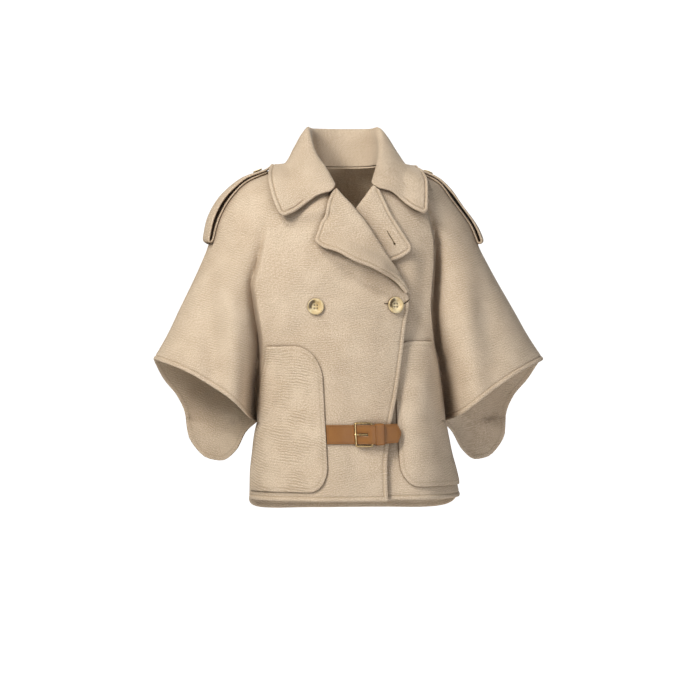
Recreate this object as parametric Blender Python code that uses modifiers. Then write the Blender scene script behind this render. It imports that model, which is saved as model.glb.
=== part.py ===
"""Wool cape coat in the form it takes when worn.

A hip-length double-breasted cape coat with half-length wings for sleeves, a large
collar, turned lapels, patch pockets, folded shoulder tabs and a leather strap with a
buckle. Every piece that a maker cuts is its own closed solid.

Frame: the origin is at the base of the neck, level with the shoulders, where the
wearer holds the coat up. +Z is up, the front faces -Y, the wearer's left is +X.
The shapes below are worked out in millimetres and scaled to metres as they are made.
"""
import math

import bmesh
import bpy
import numpy as np
from mathutils import Matrix, Vector

MM = 0.001
SEAM_GAP = 0.3            # between pieces that are sewn together
RIGHT, LEFT = -1, 1       # the wearer's sides, as signs of X
FRONT, BACK = -1, 1       # as signs of Y

CLOTH = 3.0               # wall of one layer of double-faced wool
COLLAR_CLOTH = 4.5        # collar, lapels: two layers sewn together
TAB_CLOTH = 3.4
POCKET_CLOTH = 3.0
LEATHER = 2.2

UNDERARM_Z = -475.0       # height where wing and body part
TIP_Z = -359.0            # height of the wing tips
HIP_SWAY = 23.0           # the hips stand this far to the wearer's left
SWAY_TOP_Z = -150.0
HEM_Z = -620.0
SEAM_STAND = 3.6          # a panel's crease stands this far off the seam plane
LAP_DROPS = (14.0, 8.0)   # the under front lies this far inside the upper one, down to the
LAP_HEIGHTS = (-440.0, -560.0)    # first of these heights and from the second one
LAP_RUN = 55.0            # it comes back out over this width

# ---------------------------------------------------------------- small tables


def table(names, *rows):
    """A short table, one row for each section, read by the name of a column."""
    return {name: np.array(column, float) for name, column in zip(names.split(), zip(*rows))}


def curve_through(xs, ys, at):
    """Value at a place of a smooth curve through points, which never overshoots them."""
    order = np.argsort(xs)
    xs, ys = xs[order], ys[order]
    step = np.diff(xs)
    rise = np.diff(ys) / step
    slope = np.zeros_like(ys)
    same = rise[:-1] * rise[1:] > 0
    slope[1:-1][same] = 2.0 / (1.0 / rise[:-1][same] + 1.0 / rise[1:][same])
    slope[0], slope[-1] = rise[0], rise[-1]
    at = np.clip(np.asarray(at, float), xs[0], xs[-1])
    cell = np.clip(np.searchsorted(xs, at, side="right") - 1, 0, len(step) - 1)
    t = (at - xs[cell]) / step[cell]
    return ((1 + 2 * t) * (1 - t) ** 2 * ys[cell] + t * (1 - t) ** 2 * step[cell] * slope[cell]
            + t * t * (3 - 2 * t) * ys[cell + 1] + t * t * (t - 1) * step[cell] * slope[cell + 1])


def read(rows, column, at, key="z"):
    return curve_through(rows[key], rows[column], at)


def ease(t):
    """0 below 0, 1 above 1, and a soft step between."""
    t = np.clip(t, 0.0, 1.0)
    return t * t * (3 - 2 * t)


# Horizontal sections of the whole cape: half width at the shoulder seam, depths at the middle.
CAPE = table(
    "z      half_width front_depth back_depth",
    (0,     62,        52,         60),
    (-6,    97,        64,         72),
    (-13,   128,       74,         82),
    (-22,   157,       83,         91),
    (-36,   188,       93,         100),
    (-55,   209,       102,        108),
    (-80,   228,       110,        115),
    (-110,  242,       117,        121),
    (-150,  252,       124,        126),
    (-188,  269,       129,        129),
    (-210,  280,       131,        130),
    (-270,  312,       134,        131),
    (-312,  334,       136,        132),
    (-359,  363,       138,        133),
    (-420,  402,       139,        134),
    (-475,  436,       140,        135),
    (-560,  490,       142,        139),
    (-660,  550,       144,        143),
)

# Where the body parts from the wing: the crease's place and how far it has closed
# towards the side seam, for the wearer's right and left.
CREASE = {
    RIGHT: table(
        "z     x    closed",
        (-40,  200, 0.00),
        (-150, 184, 0.03),
        (-252, 176, 0.12),
        (-335, 168, 0.30),
        (-408, 176, 0.62),
        (-450, 178, 0.88),
        (-475, 177, 1.00),
    ),
    LEFT: table(
        "z     x    closed",
        (-40,  165, 0.00),
        (-110, 156, 0.05),
        (-170, 154, 0.10),
        (-268, 145, 0.20),
        (-325, 149, 0.33),
        (-372, 158, 0.50),
        (-421, 164, 0.74),
        (-455, 166, 0.92),
        (-475, 166, 1.00),
    ),
}
CREASE_RUN = {FRONT: 34.0, BACK: 52.0}    # width over which the wing rises out of the crease

# The body below the underarm: half width on each side, and how square its section is.
BODY = table(
    "z     right left squareness",
    (-40,  0,    0,   2.00),
    (-250, 0,    0,   2.10),
    (-475, 177,  166, 2.35),
    (-505, 185,  171, 2.38),
    (-530, 189,  175, 2.40),
    (-570, 195,  184, 2.42),
    (-660, 200,  198, 2.45),
)

# Hem of a front wing and of a back wing, from the underarm (0) to the tip (1).
FRONT_WING_HEM = table(
    "along  x    z",
    (0.00,  171, -475),
    (0.10,  190, -465),
    (0.28,  220, -439),
    (0.45,  254, -414),
    (0.66,  297, -387),
    (0.83,  331, -371),
    (1.00,  363, -359),
)
BACK_WING_HEM = table(
    "along  x    z",
    (0.00,  171, -475),
    (0.08,  192, -494),
    (0.20,  212, -529),
    (0.32,  240, -549),
    (0.42,  265, -545),
    (0.52,  287, -526),
    (0.62,  301, -500),
    (0.72,  305, -462),
    (0.82,  319, -428),
    (0.92,  344, -396),
    (1.00,  363, -359),
)

# Free edge of each front from the neck down: how far it lies past the middle (minus)
# or short of it (plus), seen from the front's own side.
FRONT_EDGE = {
    RIGHT: table(
        "z     x",
        (0,    62),
        (-3,   62),
        (-8,   59),
        (-22,  47.5),
        (-42,  35),
        (-67,  19),
        (-94,  -2),
        (-122, -23),
        (-151, -41),
        (-187, -63),
        (-209, -77),
        (-225, -87),
        (-238, -95),
        (-250, -101),
        (-299, -92),
        (-371, -79),
        (-431, -66.5),
        (-472, -55.5),
        (-513, -48),
        (-560, -43),
        (-640, -41),
    ),
    LEFT: table(
        "z     x",
        (0,    63),
        (-3,   63),
        (-8,   61.5),
        (-22,  57),
        (-40,  49),
        (-53,  42),
        (-72,  29),
        (-94,  13),
        (-122, -8),
        (-151, -30),
        (-187, -56),
        (-225, -84),
        (-250, -98),
        (-299, -92),
        (-371, -79),
        (-431, -66.5),
        (-472, -55.5),
        (-513, -48),
        (-560, -43),
        (-640, -41),
    ),
}

# Main folds, as soft troughs (minus) and ridges (plus) that run down a panel. They fade
# out towards the shoulder seam and towards the middle of the coat.
FOLD_FADE_SIDE = 45.0
FOLD_START, FOLD_FADE_MIDDLE = 12.0, 25.0
FOLDS = table(
    "face  side  x_top x_low z_top z_low width height",
    (-1,   -1,   226,  216,  -170, -430, 17,   5.0),
    (-1,   -1,   250,  262,  -190, -400, 16,   -7.0),
    (-1,   -1,   60,   72,   -330, -600, 40,   3.0),
    (-1,   1,    206,  198,  -150, -430, 15,   5.0),
    (-1,   1,    238,  256,  -170, -400, 19,   -5.5),
    (-1,   1,    120,  128,  -300, -560, 30,   3.0),
    (1,    -1,   228,  286,  -170, -520, 20,   9.0),
    (1,    -1,   190,  222,  -200, -540, 17,   -9.0),
    (1,    -1,   70,   88,   -240, -640, 30,   7.0),
    (1,    -1,   20,   28,   -300, -640, 28,   -5.0),
    (1,    1,    222,  284,  -180, -520, 20,   8.5),
    (1,    1,    186,  218,  -210, -540, 18,   -9.5),
    (1,    1,    58,   78,   -260, -640, 34,   6.5),
    (1,    1,    118,  128,  -220, -620, 24,   -5.0),
)


def sway(z):
    return HIP_SWAY * np.clip((SWAY_TOP_Z - z) / (SWAY_TOP_Z - HEM_Z), 0.0, 1.1)


def place(points):
    """Millimetres in the coat's own upright frame to metres in the part's frame."""
    points = np.array(points, float)
    points[..., 0] += sway(points[..., 2])
    return points * MM


# ---------------------------------------------------------------- the cape's surface


def half_width(z):
    return read(CAPE, "half_width", z)


def middle_depth(face, z):
    return read(CAPE, "front_depth" if face == FRONT else "back_depth", z)


def round_depth(face, x, z):
    """Depth of the cape's plain oval section, with no crease and no folds."""
    return middle_depth(face, z) * np.sqrt(np.clip(1 - (x / half_width(z)) ** 2, 0, 1))


def crease(face, side, z):
    """Place of the crease between body and wing, and the panel's depth in it."""
    above = np.maximum(z, UNDERARM_Z)
    x = np.where(z > UNDERARM_Z, read(CREASE[side], "x", above),
                 read(BODY, "right" if side == RIGHT else "left", np.minimum(z, UNDERARM_Z)))
    closed = np.where(z > UNDERARM_Z, read(CREASE[side], "closed", above), 1.0)
    x = np.minimum(x, 0.62 * half_width(z))
    depth = (1 - closed) * round_depth(face, x, z)
    return x, np.maximum(depth, SEAM_STAND)


def body_oval(face, side, z):
    """Half width and squareness of the body's own oval, which runs into the crease."""
    x, depth = crease(face, side, z)
    square = read(BODY, "squareness", z)
    full = middle_depth(face, z)
    return x / (1 - np.clip(depth / full, 0, 0.98) ** square) ** (1 / square), square


def folds(face, side, x, z):
    """Height that the main folds add to a panel."""
    height = np.zeros(np.broadcast(x, z).shape)
    for i in range(len(FOLDS["face"])):
        if FOLDS["face"][i] != face or FOLDS["side"][i] != side:
            continue
        top, low = FOLDS["z_top"][i], FOLDS["z_low"][i]
        down = (top - z) / (top - low)
        middle = FOLDS["x_top"][i] + (FOLDS["x_low"][i] - FOLDS["x_top"][i]) * down
        width = FOLDS["width"][i] * (1 + 0.5 * np.clip(down, 0, 1))
        swell = ease(down / 0.5)
        height += FOLDS["height"][i] * swell * np.exp(-((x - middle) / width) ** 2)
    return height


def side_depth(face, side, x, z):
    """Depth of a panel on one side of the middle, where x is the distance from it."""
    crease_x, crease_depth = crease(face, side, z)
    oval, square = body_oval(face, side, z)
    body = middle_depth(face, z) * (1 - np.clip(x / oval, 0, 1) ** square) ** (1 / square)
    sunk = round_depth(face, crease_x, z) - crease_depth
    run = np.clip((x - crease_x) / CREASE_RUN[face], 0, None)
    wing = round_depth(face, x, z) - sunk * np.exp(-run ** 1.25)
    fade = ease((half_width(z) - x) / FOLD_FADE_SIDE) * ease((x - FOLD_START) / FOLD_FADE_MIDDLE)
    fade = fade * np.where((z < UNDERARM_Z) & (x <= crease_x), ease((crease_x - x) / 40), 1.0)
    return np.where(x <= crease_x, body, wing) + folds(face, side, x, z) * fade


def depth(face, x, z):
    """Depth of the outer face of the front or the back at any place, x from the middle."""
    x, z = np.broadcast_arrays(np.asarray(x, float), np.asarray(z, float))
    left = side_depth(face, LEFT, np.abs(x), z)
    right = side_depth(face, RIGHT, np.abs(x), z)
    return np.maximum(np.where(x > 0, left, right), SEAM_GAP / 2)


def lap_drop(x, z):
    """How far the under front lies inside the upper one."""
    edge = -read(FRONT_EDGE[RIGHT], "x", z)
    below = ease((LAP_HEIGHTS[0] - z) / (LAP_HEIGHTS[0] - LAP_HEIGHTS[1]))
    drop = LAP_DROPS[0] + (LAP_DROPS[1] - LAP_DROPS[0]) * below
    return drop * (1 - ease((x - edge - 2) / LAP_RUN))


def front_point(x, z, lift=0.0, under=False):
    """Point on the front, moved out along the normal; x from the middle, +X to the left."""
    x, z = np.broadcast_arrays(np.asarray(x, float), np.asarray(z, float))

    def out(px, pz):
        return depth(FRONT, px, pz) - (lap_drop(px, pz) if under else 0.0)

    reach = 1.5
    slope_x = (out(x + reach, z) - out(x - reach, z)) / (2 * reach)
    slope_z = (out(x, z + reach) - out(x, z - reach)) / (2 * reach)
    normal = np.stack([-slope_x, -np.ones_like(slope_x), -slope_z], axis=-1)
    normal /= np.linalg.norm(normal, axis=-1, keepdims=True)
    point = np.stack([x, -out(x, z), z], axis=-1)
    return point + normal * np.asarray(lift, float)[..., None]


# ---------------------------------------------------------------- meshes


def new_object(name, mesh, material):
    obj = bpy.data.objects.new(name, mesh)
    mesh.materials.append(material)
    COAT.objects.link(obj)
    return obj


def soft_shaded(mesh, angle=40):
    mesh.shade_smooth()
    mesh.set_sharp_from_angle(angle=math.radians(angle))
    return mesh


def grid_normals(grid, present):
    """Unit normals of a grid of points. The two sides of a column count the same."""
    cell = np.cross(grid[:-1, 1:] - grid[1:, :-1], grid[:-1, :-1] - grid[1:, 1:])
    cell = np.where(present[..., None], cell, 0.0)
    size = np.linalg.norm(cell, axis=-1, keepdims=True)
    cell = np.divide(cell, size, out=np.zeros_like(cell), where=size > 1e-9)
    rows, cols = grid.shape[:2]
    sides = []
    for shift in (0, 1):
        total = np.zeros((rows, cols, 3))
        area = (slice(None, -1), slice(shift, cols - 1 + shift))
        total[area] += cell
        area = (slice(1, None), slice(shift, cols - 1 + shift))
        total[area] += cell
        size = np.linalg.norm(total, axis=-1, keepdims=True)
        sides.append(np.divide(total, size, out=np.zeros_like(total), where=size > 1e-9))
    normal = sides[0] + sides[1]
    size = np.linalg.norm(normal, axis=-1, keepdims=True)
    return np.divide(normal, size, out=np.zeros_like(normal), where=size > 1e-9)


def wall(name, grid, thickness, material, present=None, flip=False, ring=False, limit=None):
    """Closed wall from a grid of points on its outer face.

    present marks the cells of the grid that hold cloth, ring joins the last column to
    the first, and limit is a function that keeps the inner points on their own side of
    a seam.
    """
    grid = np.asarray(grid, float)
    rows, cols = grid.shape[:2]
    if present is None:
        present = np.ones((rows - 1, cols if ring else cols - 1), bool)
    if ring:
        padded = np.concatenate([grid[:, -1:], grid, grid[:, :1]], axis=1)
        cells = np.concatenate([present[:, -1:], present], axis=1)
        normal = grid_normals(padded, cells)[:, 1:-1]
    else:
        normal = grid_normals(grid, present)
    if flip:
        normal = -normal
    inner = grid - normal * thickness
    if limit is not None:
        inner = limit(inner)
    mesh_points = (place(grid), place(inner))
    bm = bmesh.new()
    layers = [{}, {}]

    def vert(layer, key):
        if key not in layers[layer]:
            layers[layer][key] = bm.verts.new(mesh_points[layer][key])
        return layers[layer][key]

    border = set()
    for r in range(present.shape[0]):
        for c in range(present.shape[1]):
            if not present[r, c]:
                continue
            d = (c + 1) % cols
            loop = [(r, c), (r, d), (r + 1, d), (r + 1, c)]
            if not flip:
                loop.reverse()
            bm.faces.new([vert(0, key) for key in loop])
            bm.faces.new([vert(1, key) for key in reversed(loop)])
            for start, end in zip(loop, loop[1:] + loop[:1]):
                if (end, start) in border:
                    border.remove((end, start))
                else:
                    border.add((start, end))
    for start, end in sorted(border):
        bm.faces.new([vert(0, end), vert(0, start), vert(1, start), vert(1, end)])
    mesh = bpy.data.meshes.new(name)
    bm.to_mesh(mesh)
    bm.free()
    return new_object(name, soft_shaded(mesh), material)


def strung(points, places):
    """Points read at places 0 to 1 along a smooth curve through a few of its own."""
    points = np.asarray(points, float)
    chord = np.linalg.norm(np.diff(points, axis=0), axis=-1) ** 0.5
    at = np.concatenate([[0], np.cumsum(chord)])
    at /= at[-1]
    tangent = np.gradient(points, at, axis=0)
    places = np.asarray(places, float)
    cell = np.clip(np.searchsorted(at, places, side="right") - 1, 0, len(chord) - 1)
    step = (at[cell + 1] - at[cell])[:, None]
    t = (places - at[cell])[:, None] / step
    return ((1 + 2 * t) * (1 - t) ** 2 * points[cell] + t * (1 - t) ** 2 * step * tangent[cell]
            + t * t * (3 - 2 * t) * points[cell + 1]
            + t * t * (t - 1) * step * tangent[cell + 1])


# ---------------------------------------------------------------- fronts and back

UPPER_ROWS = 15           # from the neck to the underarm
LOWER_ROWS = 5            # from the underarm to the hem
WING_COLUMNS = 9
FRONT_COLUMNS = 15
BACK_COLUMNS = 11         # on each side of the middle


def upper_heights(top):
    """Heights of the rows at the crease, closer together on the shoulder."""
    down = np.linspace(0, 1, UPPER_ROWS + 1) ** 1.55
    return top + (UNDERARM_Z - top) * down


def oval_place(x, oval, square):
    return np.sign(x) * np.arcsin(np.clip(np.abs(x) / oval, 0, 1) ** (square / 2))


def split_place(face, side, start, z):
    """Where a row passes from body to wing: the crease, or past the neck edge near the top."""
    crease_x, _ = crease(face, side, z)
    return np.maximum(crease_x, start + 0.3 * (half_width(z) - start)) if z > -30 else crease_x


def body_columns(face, side, start, z, count, reach=1.0):
    """Places across the body from a starting place to the crease, closer where it turns."""
    oval, square = body_oval(face, side, z)
    split = split_place(face, side, start, z)
    first, last = oval_place(start, oval, square), oval_place(split, oval, square) * reach
    turn = first + (last - first) * np.linspace(0, 1, count + 1)
    return oval * np.sign(turn) * np.abs(np.sin(turn)) ** (2 / square)


def wing_row(face, side, start, z, count):
    """Places and heights of one row of a wing, from the crease to the shoulder seam."""
    down = z / UNDERARM_Z
    seam_z = z + (TIP_Z - UNDERARM_Z) * down ** 2
    crease_x = split_place(face, side, start, z)
    hem = FRONT_WING_HEM if face == FRONT else BACK_WING_HEM

    def plain(row_z, row_seam_z, row_crease):
        edge = half_width(row_seam_z)
        first = math.asin(min(float(row_crease / edge), 1))
        x = edge * np.sin(first + (math.pi / 2 - first) * np.linspace(0, 1, count + 1))
        across = (x - row_crease) / (edge - row_crease)
        return x, row_z + (row_seam_z - row_z) * across

    x, height = plain(z, seam_z, crease_x)
    last_crease, _ = crease(face, side, UNDERARM_Z)
    last_x, last_z = plain(UNDERARM_Z, TIP_Z, last_crease)
    along = np.linspace(0, 1, count + 1)
    hem_x = read(hem, "x", along, key="along")
    hem_x = hem_x + (last_crease - hem["x"][0]) * (1 - along) ** 3
    blend = ease((down - 0.35) / 0.65) ** 1.5
    return x + blend * (hem_x - last_x), height + blend * (read(hem, "z", along, key="along") - last_z)


def hem_height(face, side, turn):
    """Height of the body's hem, where turn runs from 0 in the middle to 1 at the side seam."""
    side_z = -616.0 if side == RIGHT else -609.0
    middle_z = (-615.0 if side == RIGHT else -613.0) if face == FRONT else -641.0
    return middle_z + (side_z - middle_z) * np.clip(turn, 0, 1) ** 4


def front_panel(side):
    """Points of a front and its half wing, in rows, and the cells that hold cloth."""
    body, wing = FRONT_COLUMNS, WING_COLUMNS
    grid = np.zeros((UPPER_ROWS + LOWER_ROWS + 1, body + wing + 1, 3))
    heights = upper_heights(-1.2)
    for row, z in enumerate(heights):
        start = read(FRONT_EDGE[side], "x", z)
        x = np.concatenate([body_columns(FRONT, side, start, z, body), np.zeros(wing)])
        height = np.full(body + wing + 1, z)
        wing_x, wing_z = wing_row(FRONT, side, start, z, wing)
        x[body:], height[body:] = wing_x, wing_z
        grid[row] = panel_points(FRONT, side, x, height)
    for step in range(1, LOWER_ROWS + 1):
        row = UPPER_ROWS + step
        share = step / LOWER_ROWS
        flat = UNDERARM_Z + (HEM_Z - UNDERARM_Z) * share
        turn = np.linspace(-0.35, 1, body + 1)
        height = UNDERARM_Z + (hem_height(FRONT, side, turn) - UNDERARM_Z) * share
        start = read(FRONT_EDGE[side], "x", flat)
        x = body_columns(FRONT, side, start, flat, body)
        x *= crease(FRONT, side, height)[0] / crease(FRONT, side, flat)[0]
        grid[row, :body + 1] = panel_points(FRONT, side, x, height)
        grid[row, body, 1] = -SEAM_GAP / 2
        grid[row, body + 1:] = grid[row, body]
    present = np.ones((UPPER_ROWS + LOWER_ROWS, body + wing), bool)
    present[UPPER_ROWS:, body:] = False
    return grid, present


def back_panel():
    """Points of the back and both its half wings, from the wearer's right to the left."""
    body, wing = BACK_COLUMNS, WING_COLUMNS
    cols = 2 * (body + wing) + 1
    grid = np.zeros((UPPER_ROWS + LOWER_ROWS + 1, cols, 3))
    middle = body + wing
    for side in (RIGHT, LEFT):
        for row, z in enumerate(upper_heights(0.0)):
            x = np.zeros(body + wing + 1)
            height = np.full(body + wing + 1, z)
            x[:body + 1] = body_columns(BACK, side, 0.0, z, body)
            x[body:], height[body:] = wing_row(BACK, side, 0.0, z, wing)
            points = panel_points(BACK, side, x, height)
            columns = middle + side * np.arange(body + wing + 1)
            grid[row, columns] = points
        for step in range(1, LOWER_ROWS + 1):
            share = step / LOWER_ROWS
            flat = UNDERARM_Z + (HEM_Z - UNDERARM_Z) * share
            turn = np.linspace(0, 1, body + 1)
            height = UNDERARM_Z + (hem_height(BACK, side, turn) - UNDERARM_Z) * share
            x = body_columns(BACK, side, 0.0, flat, body)
            x *= crease(BACK, side, height)[0] / crease(BACK, side, flat)[0]
            points = panel_points(BACK, side, x, height)
            points[-1, 1] = SEAM_GAP / 2
            columns = middle + side * np.arange(body + 1)
            grid[UPPER_ROWS + step, columns] = points
            rest = middle + side * np.arange(body + 1, body + wing + 1)
            grid[UPPER_ROWS + step, rest] = points[-1]
    present = np.ones((UPPER_ROWS + LOWER_ROWS, cols - 1), bool)
    present[UPPER_ROWS:, :wing] = False
    present[UPPER_ROWS:, cols - 1 - wing:] = False
    return grid, present


def panel_points(face, side, x, z):
    """Points of a panel; x counts outwards from the middle on the panel's own side."""
    across = side * x
    out = depth(face, across, z)
    if face == FRONT and side == LEFT:
        out = np.maximum(out - lap_drop(across, z), SEAM_GAP / 2)
    return np.stack([across, face * out, z], axis=-1)


def keep_front(points):
    points[..., 1] = np.minimum(points[..., 1], -SEAM_GAP / 2)
    return points


def keep_back(points):
    points[..., 1] = np.maximum(points[..., 1], SEAM_GAP / 2)
    return points


def make_panels():
    for side, name in ((RIGHT, "front_right"), (LEFT, "front_left")):
        grid, present = front_panel(side)
        wall(name, grid, CLOTH, WOOL, present, flip=side == RIGHT, limit=keep_front)
    grid, present = back_panel()
    wall("back", grid, CLOTH, WOOL, present, flip=True, limit=keep_back)


# ---------------------------------------------------------------- lapels

# Each lapel from the neck down: its roll line, its outer edge, and how high its underside
# stands off the front at the roll, half way and at the edge. x counts as in FRONT_EDGE.
LAPELS = {
    RIGHT: table(
        "along  roll_x roll_z edge_x edge_z roll  middle edge",
        (0.00,  28.5,  -53,   34,    -57,   0.6,  0.7,   0.8),
        (0.05,  25.5,  -57,   38,    -65,   1.6,  1.6,   1.6),
        (0.12,  21,    -65,   42,    -75,   4.0,  3.0,   2.5),
        (0.22,  11,    -77,   49,    -98,   5.5,  4.0,   3.5),
        (0.32,  2.5,   -88,   58,    -124,  6.5,  5.0,   5.0),
        (0.38,  -3.5,  -96,   64,    -139,  7.0,  6.0,   6.5),
        (0.42,  -8,    -102,  65.5,  -146,  7.0,  6.5,   7.5),
        (0.46,  -12,   -107,  62,    -152,  7.5,  7.0,   8.5),
        (0.52,  -20,   -118,  50,    -160,  7.5,  8.0,   10.0),
        (0.60,  -30.5, -134,  27,    -169,  7.5,  9.0,   12.5),
        (0.70,  -45,   -157,  -2,    -182,  7.5,  10.0,  15.0),
        (0.80,  -59,   -181,  -34,   -195.5, 7.0, 10.0,  14.0),
        (0.88,  -72.5, -202,  -61,   -208.5, 6.5, 8.0,   10.0),
        (0.95,  -85,   -222,  -80,   -225,  5.0,  5.0,   6.0),
        (1.00,  -94,   -238,  -91,   -239.5, 3.0, 3.0,   3.0),
    ),
    LEFT: table(
        "along  roll_x roll_z edge_x edge_z roll  middle edge",
        (0.00,  45,    -48,   53.5,  -55.5, 1.6,  1.8,   2.2),
        (0.10,  38,    -58,   61,    -72,   3.6,  3.0,   3.0),
        (0.20,  30.5,  -69,   71,    -95,   4.0,  3.5,   4.0),
        (0.29,  22,    -80,   86,    -121,  3.5,  3.5,   4.5),
        (0.36,  16,    -88,   100,   -144,  3.0,  3.2,   5.0),
        (0.40,  12.5,  -94,   106.5, -156,  2.6,  3.0,   5.5),
        (0.44,  7,     -101,  105,   -164,  2.2,  3.0,   5.5),
        (0.49,  1,     -110,  95,    -172,  1.8,  2.6,   4.5),
        (0.56,  -9,    -124,  76,    -181,  1.8,  2.0,   2.6),
        (0.66,  -24,   -144,  46,    -192,  1.8,  1.8,   1.8),
        (0.78,  -46,   -173,  8,     -208,  2.4,  2.4,   2.2),
        (0.90,  -71,   -206,  -44,   -222,  2.8,  2.8,   2.8),
        (1.00,  -93,   -238,  -83,   -243,  2.8,  2.8,   2.8),
    ),
}
LAPEL_ROWS = 20
LAPEL_COLUMNS = 6
ROLL_COLUMNS = 5


def lapel_grid(side):
    """Points on the showing face of a lapel, from inside its roll to its outer edge."""
    rows = LAPELS[side]
    along = np.linspace(0, 1, LAPEL_ROWS + 1)

    def at(column):
        return read(rows, column, along, key="along")

    roll = np.stack([at("roll_x"), at("roll_z")], axis=-1)
    edge = np.stack([at("edge_x"), at("edge_z")], axis=-1)
    span = edge - roll
    away = span / np.linalg.norm(span, axis=-1, keepdims=True)
    radius = (at("roll") + 2 * COLLAR_CLOTH) / 2
    centre = radius - COLLAR_CLOTH + 0.6
    columns = []
    for turn in np.radians(np.linspace(62, 165, ROLL_COLUMNS)):
        columns.append((roll - away * (radius * math.sin(turn))[:, None],
                        centre - radius * math.cos(turn)))
    for share in np.linspace(0.04, 1, LAPEL_COLUMNS):
        height = (at("roll") * (1 - share) ** 2 + at("middle") * 2 * share * (1 - share)
                  + at("edge") * share ** 2)
        columns.append((roll + span * share, height + COLLAR_CLOTH + 0.9))
    flat = np.stack([place_ for place_, _ in columns], axis=1)
    lift = np.stack([height for _, height in columns], axis=1)
    return front_point(side * flat[..., 0], flat[..., 1], lift, under=side == LEFT)


def make_lapels():
    for side, name in ((RIGHT, "lapel_right"), (LEFT, "lapel_left")):
        wall(name, lapel_grid(side), COLLAR_CLOTH, WOOL, flip=side == RIGHT)


# ---------------------------------------------------------------- collar

# Sections of the collar, each over its showing face: neck seam, stand, roll, and the leaf
# down to its free edge. The two front ends differ, because the right front laps over.
COLLAR_ENDS = {
    RIGHT: (
        ((35, -88, -36), (32, -92, -38), (27, -97, -40.5), (28, -105, -44.5),
         (36, -112.5, -53), (60, -112, -61.5), (98, -110, -89), (127, -100, -105)),
        ((44, -79, -20), (42, -78, -16), (40, -74, -13), (43, -80, -9),
         (56, -88, -15), (82, -94, -30), (112, -92, -50), (141, -82, -66)),
        ((58, -55, -4), (58, -46, 8), (56, -38, 20), (61, -40, 29),
         (75, -46, 22), (96, -52, 4), (120, -52, -16), (142, -46, -32)),
    ),
    LEFT: (
        ((47, -84, -34), (44, -88, -36), (39, -92, -37), (41, -98, -40),
         (52, -104, -47), (76, -106, -53.5), (112, -102, -83.5), (140, -92, -99)),
        ((54, -72, -20), (51, -71, -16), (49, -67, -13), (52, -73, -9),
         (64, -82, -15), (88, -88, -29), (118, -84, -47), (147, -74, -62)),
        ((60, -52, -4), (60, -44, 8), (58, -36, 20), (63, -38, 29),
         (76, -45, 22), (97, -51, 4), (121, -51, -16), (144, -45, -32)),
    ),
}
COLLAR_SIDE = (
    # over the shoulder, and half way from there to the back
    ((60, 2, 1), (61, 1, 34), (60, 2, 57), (65, 5, 70),
     (77, 5, 57), (93, 4, 31), (109, 2, 4), (137, 0, -4)),
    ((44, 43, 1), (45, 48, 36), (45, 51, 60), (50, 56, 72),
     (61, 62, 59), (74, 68, 30), (86, 72, 2), (101, 78, -24)),
)
COLLAR_BACK = ((0, 59, 1), (0, 65, 36), (0, 69, 60), (0, 76, 73),
               (0, 86, 60), (0, 94, 30), (0, 99, -2), (0, 105, -34))
COLLAR_ROWS = 26
COLLAR_COLUMNS = 13
LEAF_CLEARANCE = 6.2


def oval_gap(points):
    """Distance outside the plain oval, and the direction straight out of it."""

    def level(p):
        face_depth = np.where(p[..., 1] < 0, middle_depth(FRONT, p[..., 2]), middle_depth(BACK, p[..., 2]))
        return np.hypot(p[..., 0] / half_width(p[..., 2]), p[..., 1] / face_depth) - 1

    here = level(points)
    slope = np.stack([(level(points + step) - level(points - step)) / 1.0
                      for step in np.eye(3) * 0.5], axis=-1)
    size = np.linalg.norm(slope, axis=-1, keepdims=True)
    return here / size[..., 0], slope / size


def kept_off(points, clearance):
    """Points moved out until they stand clear of the shoulders."""
    points = np.array(points, float)
    for _ in range(4):
        gap, out = oval_gap(points)
        short = np.clip(clearance - gap, 0, None) * (points[..., 2] < -0.5)
        points += out * short[..., None]
    return points


def collar_grid():
    right = [np.array(section, float) * (RIGHT, 1, 1) for section in COLLAR_ENDS[RIGHT] + COLLAR_SIDE]
    left = [np.array(section, float) for section in COLLAR_ENDS[LEFT] + COLLAR_SIDE]
    stations = np.array(right + [np.array(COLLAR_BACK, float)] + left[::-1])
    across = np.linspace(0, 1, COLLAR_COLUMNS + 1)
    sections = np.array([strung(section, across) for section in stations])
    along = np.linspace(0, 1, COLLAR_ROWS + 1)
    grid = np.stack([strung(sections[:, c], along) for c in range(COLLAR_COLUMNS + 1)], axis=1)
    leaf = across > 0.42
    grid[:, leaf] = kept_off(grid[:, leaf], LEAF_CLEARANCE)
    for end, beside in ((0, 1), (-1, -2)):
        grid[end, -1] = 0.5 * grid[end, -1] + 0.25 * (grid[end, -2] + grid[beside, -1])
    return grid


def make_collar():
    wall("collar", collar_grid(), COLLAR_CLOTH, WOOL)


# ---------------------------------------------------------------- pockets

POCKET_LIFT = 2.2
POCKET_ROWS = 14
POCKET_COLUMNS = 8
POCKET_REACH = 0.93       # share of the turn towards the side seam that a pocket covers
# For each pocket: inner edge from the middle, top, bottom, and its corners' width and height.
POCKETS = {
    RIGHT: dict(name="pocket_right", inner=65.0, top=-335.0, bottom=-599.0,
                top_corner=(48.0, 62.0), low_corner=(34.0, 50.0)),
    LEFT: dict(name="pocket_left", inner=66.0, top=-326.0, bottom=-590.0,
               top_corner=(30.0, 46.0), low_corner=(34.0, 46.0)),
}


def pocket_inner(pocket, z):
    """Inner edge of a pocket at a height, drawn in at its rounded corners."""
    drawn = 0.0
    for (width, height), distance in ((pocket["top_corner"], pocket["top"] - z),
                                      (pocket["low_corner"], z - pocket["bottom"])):
        if distance < height:
            drawn = width * (1 - math.sqrt(max(0.0, 1 - (1 - distance / height) ** 2)))
    return pocket["inner"] + drawn


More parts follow.
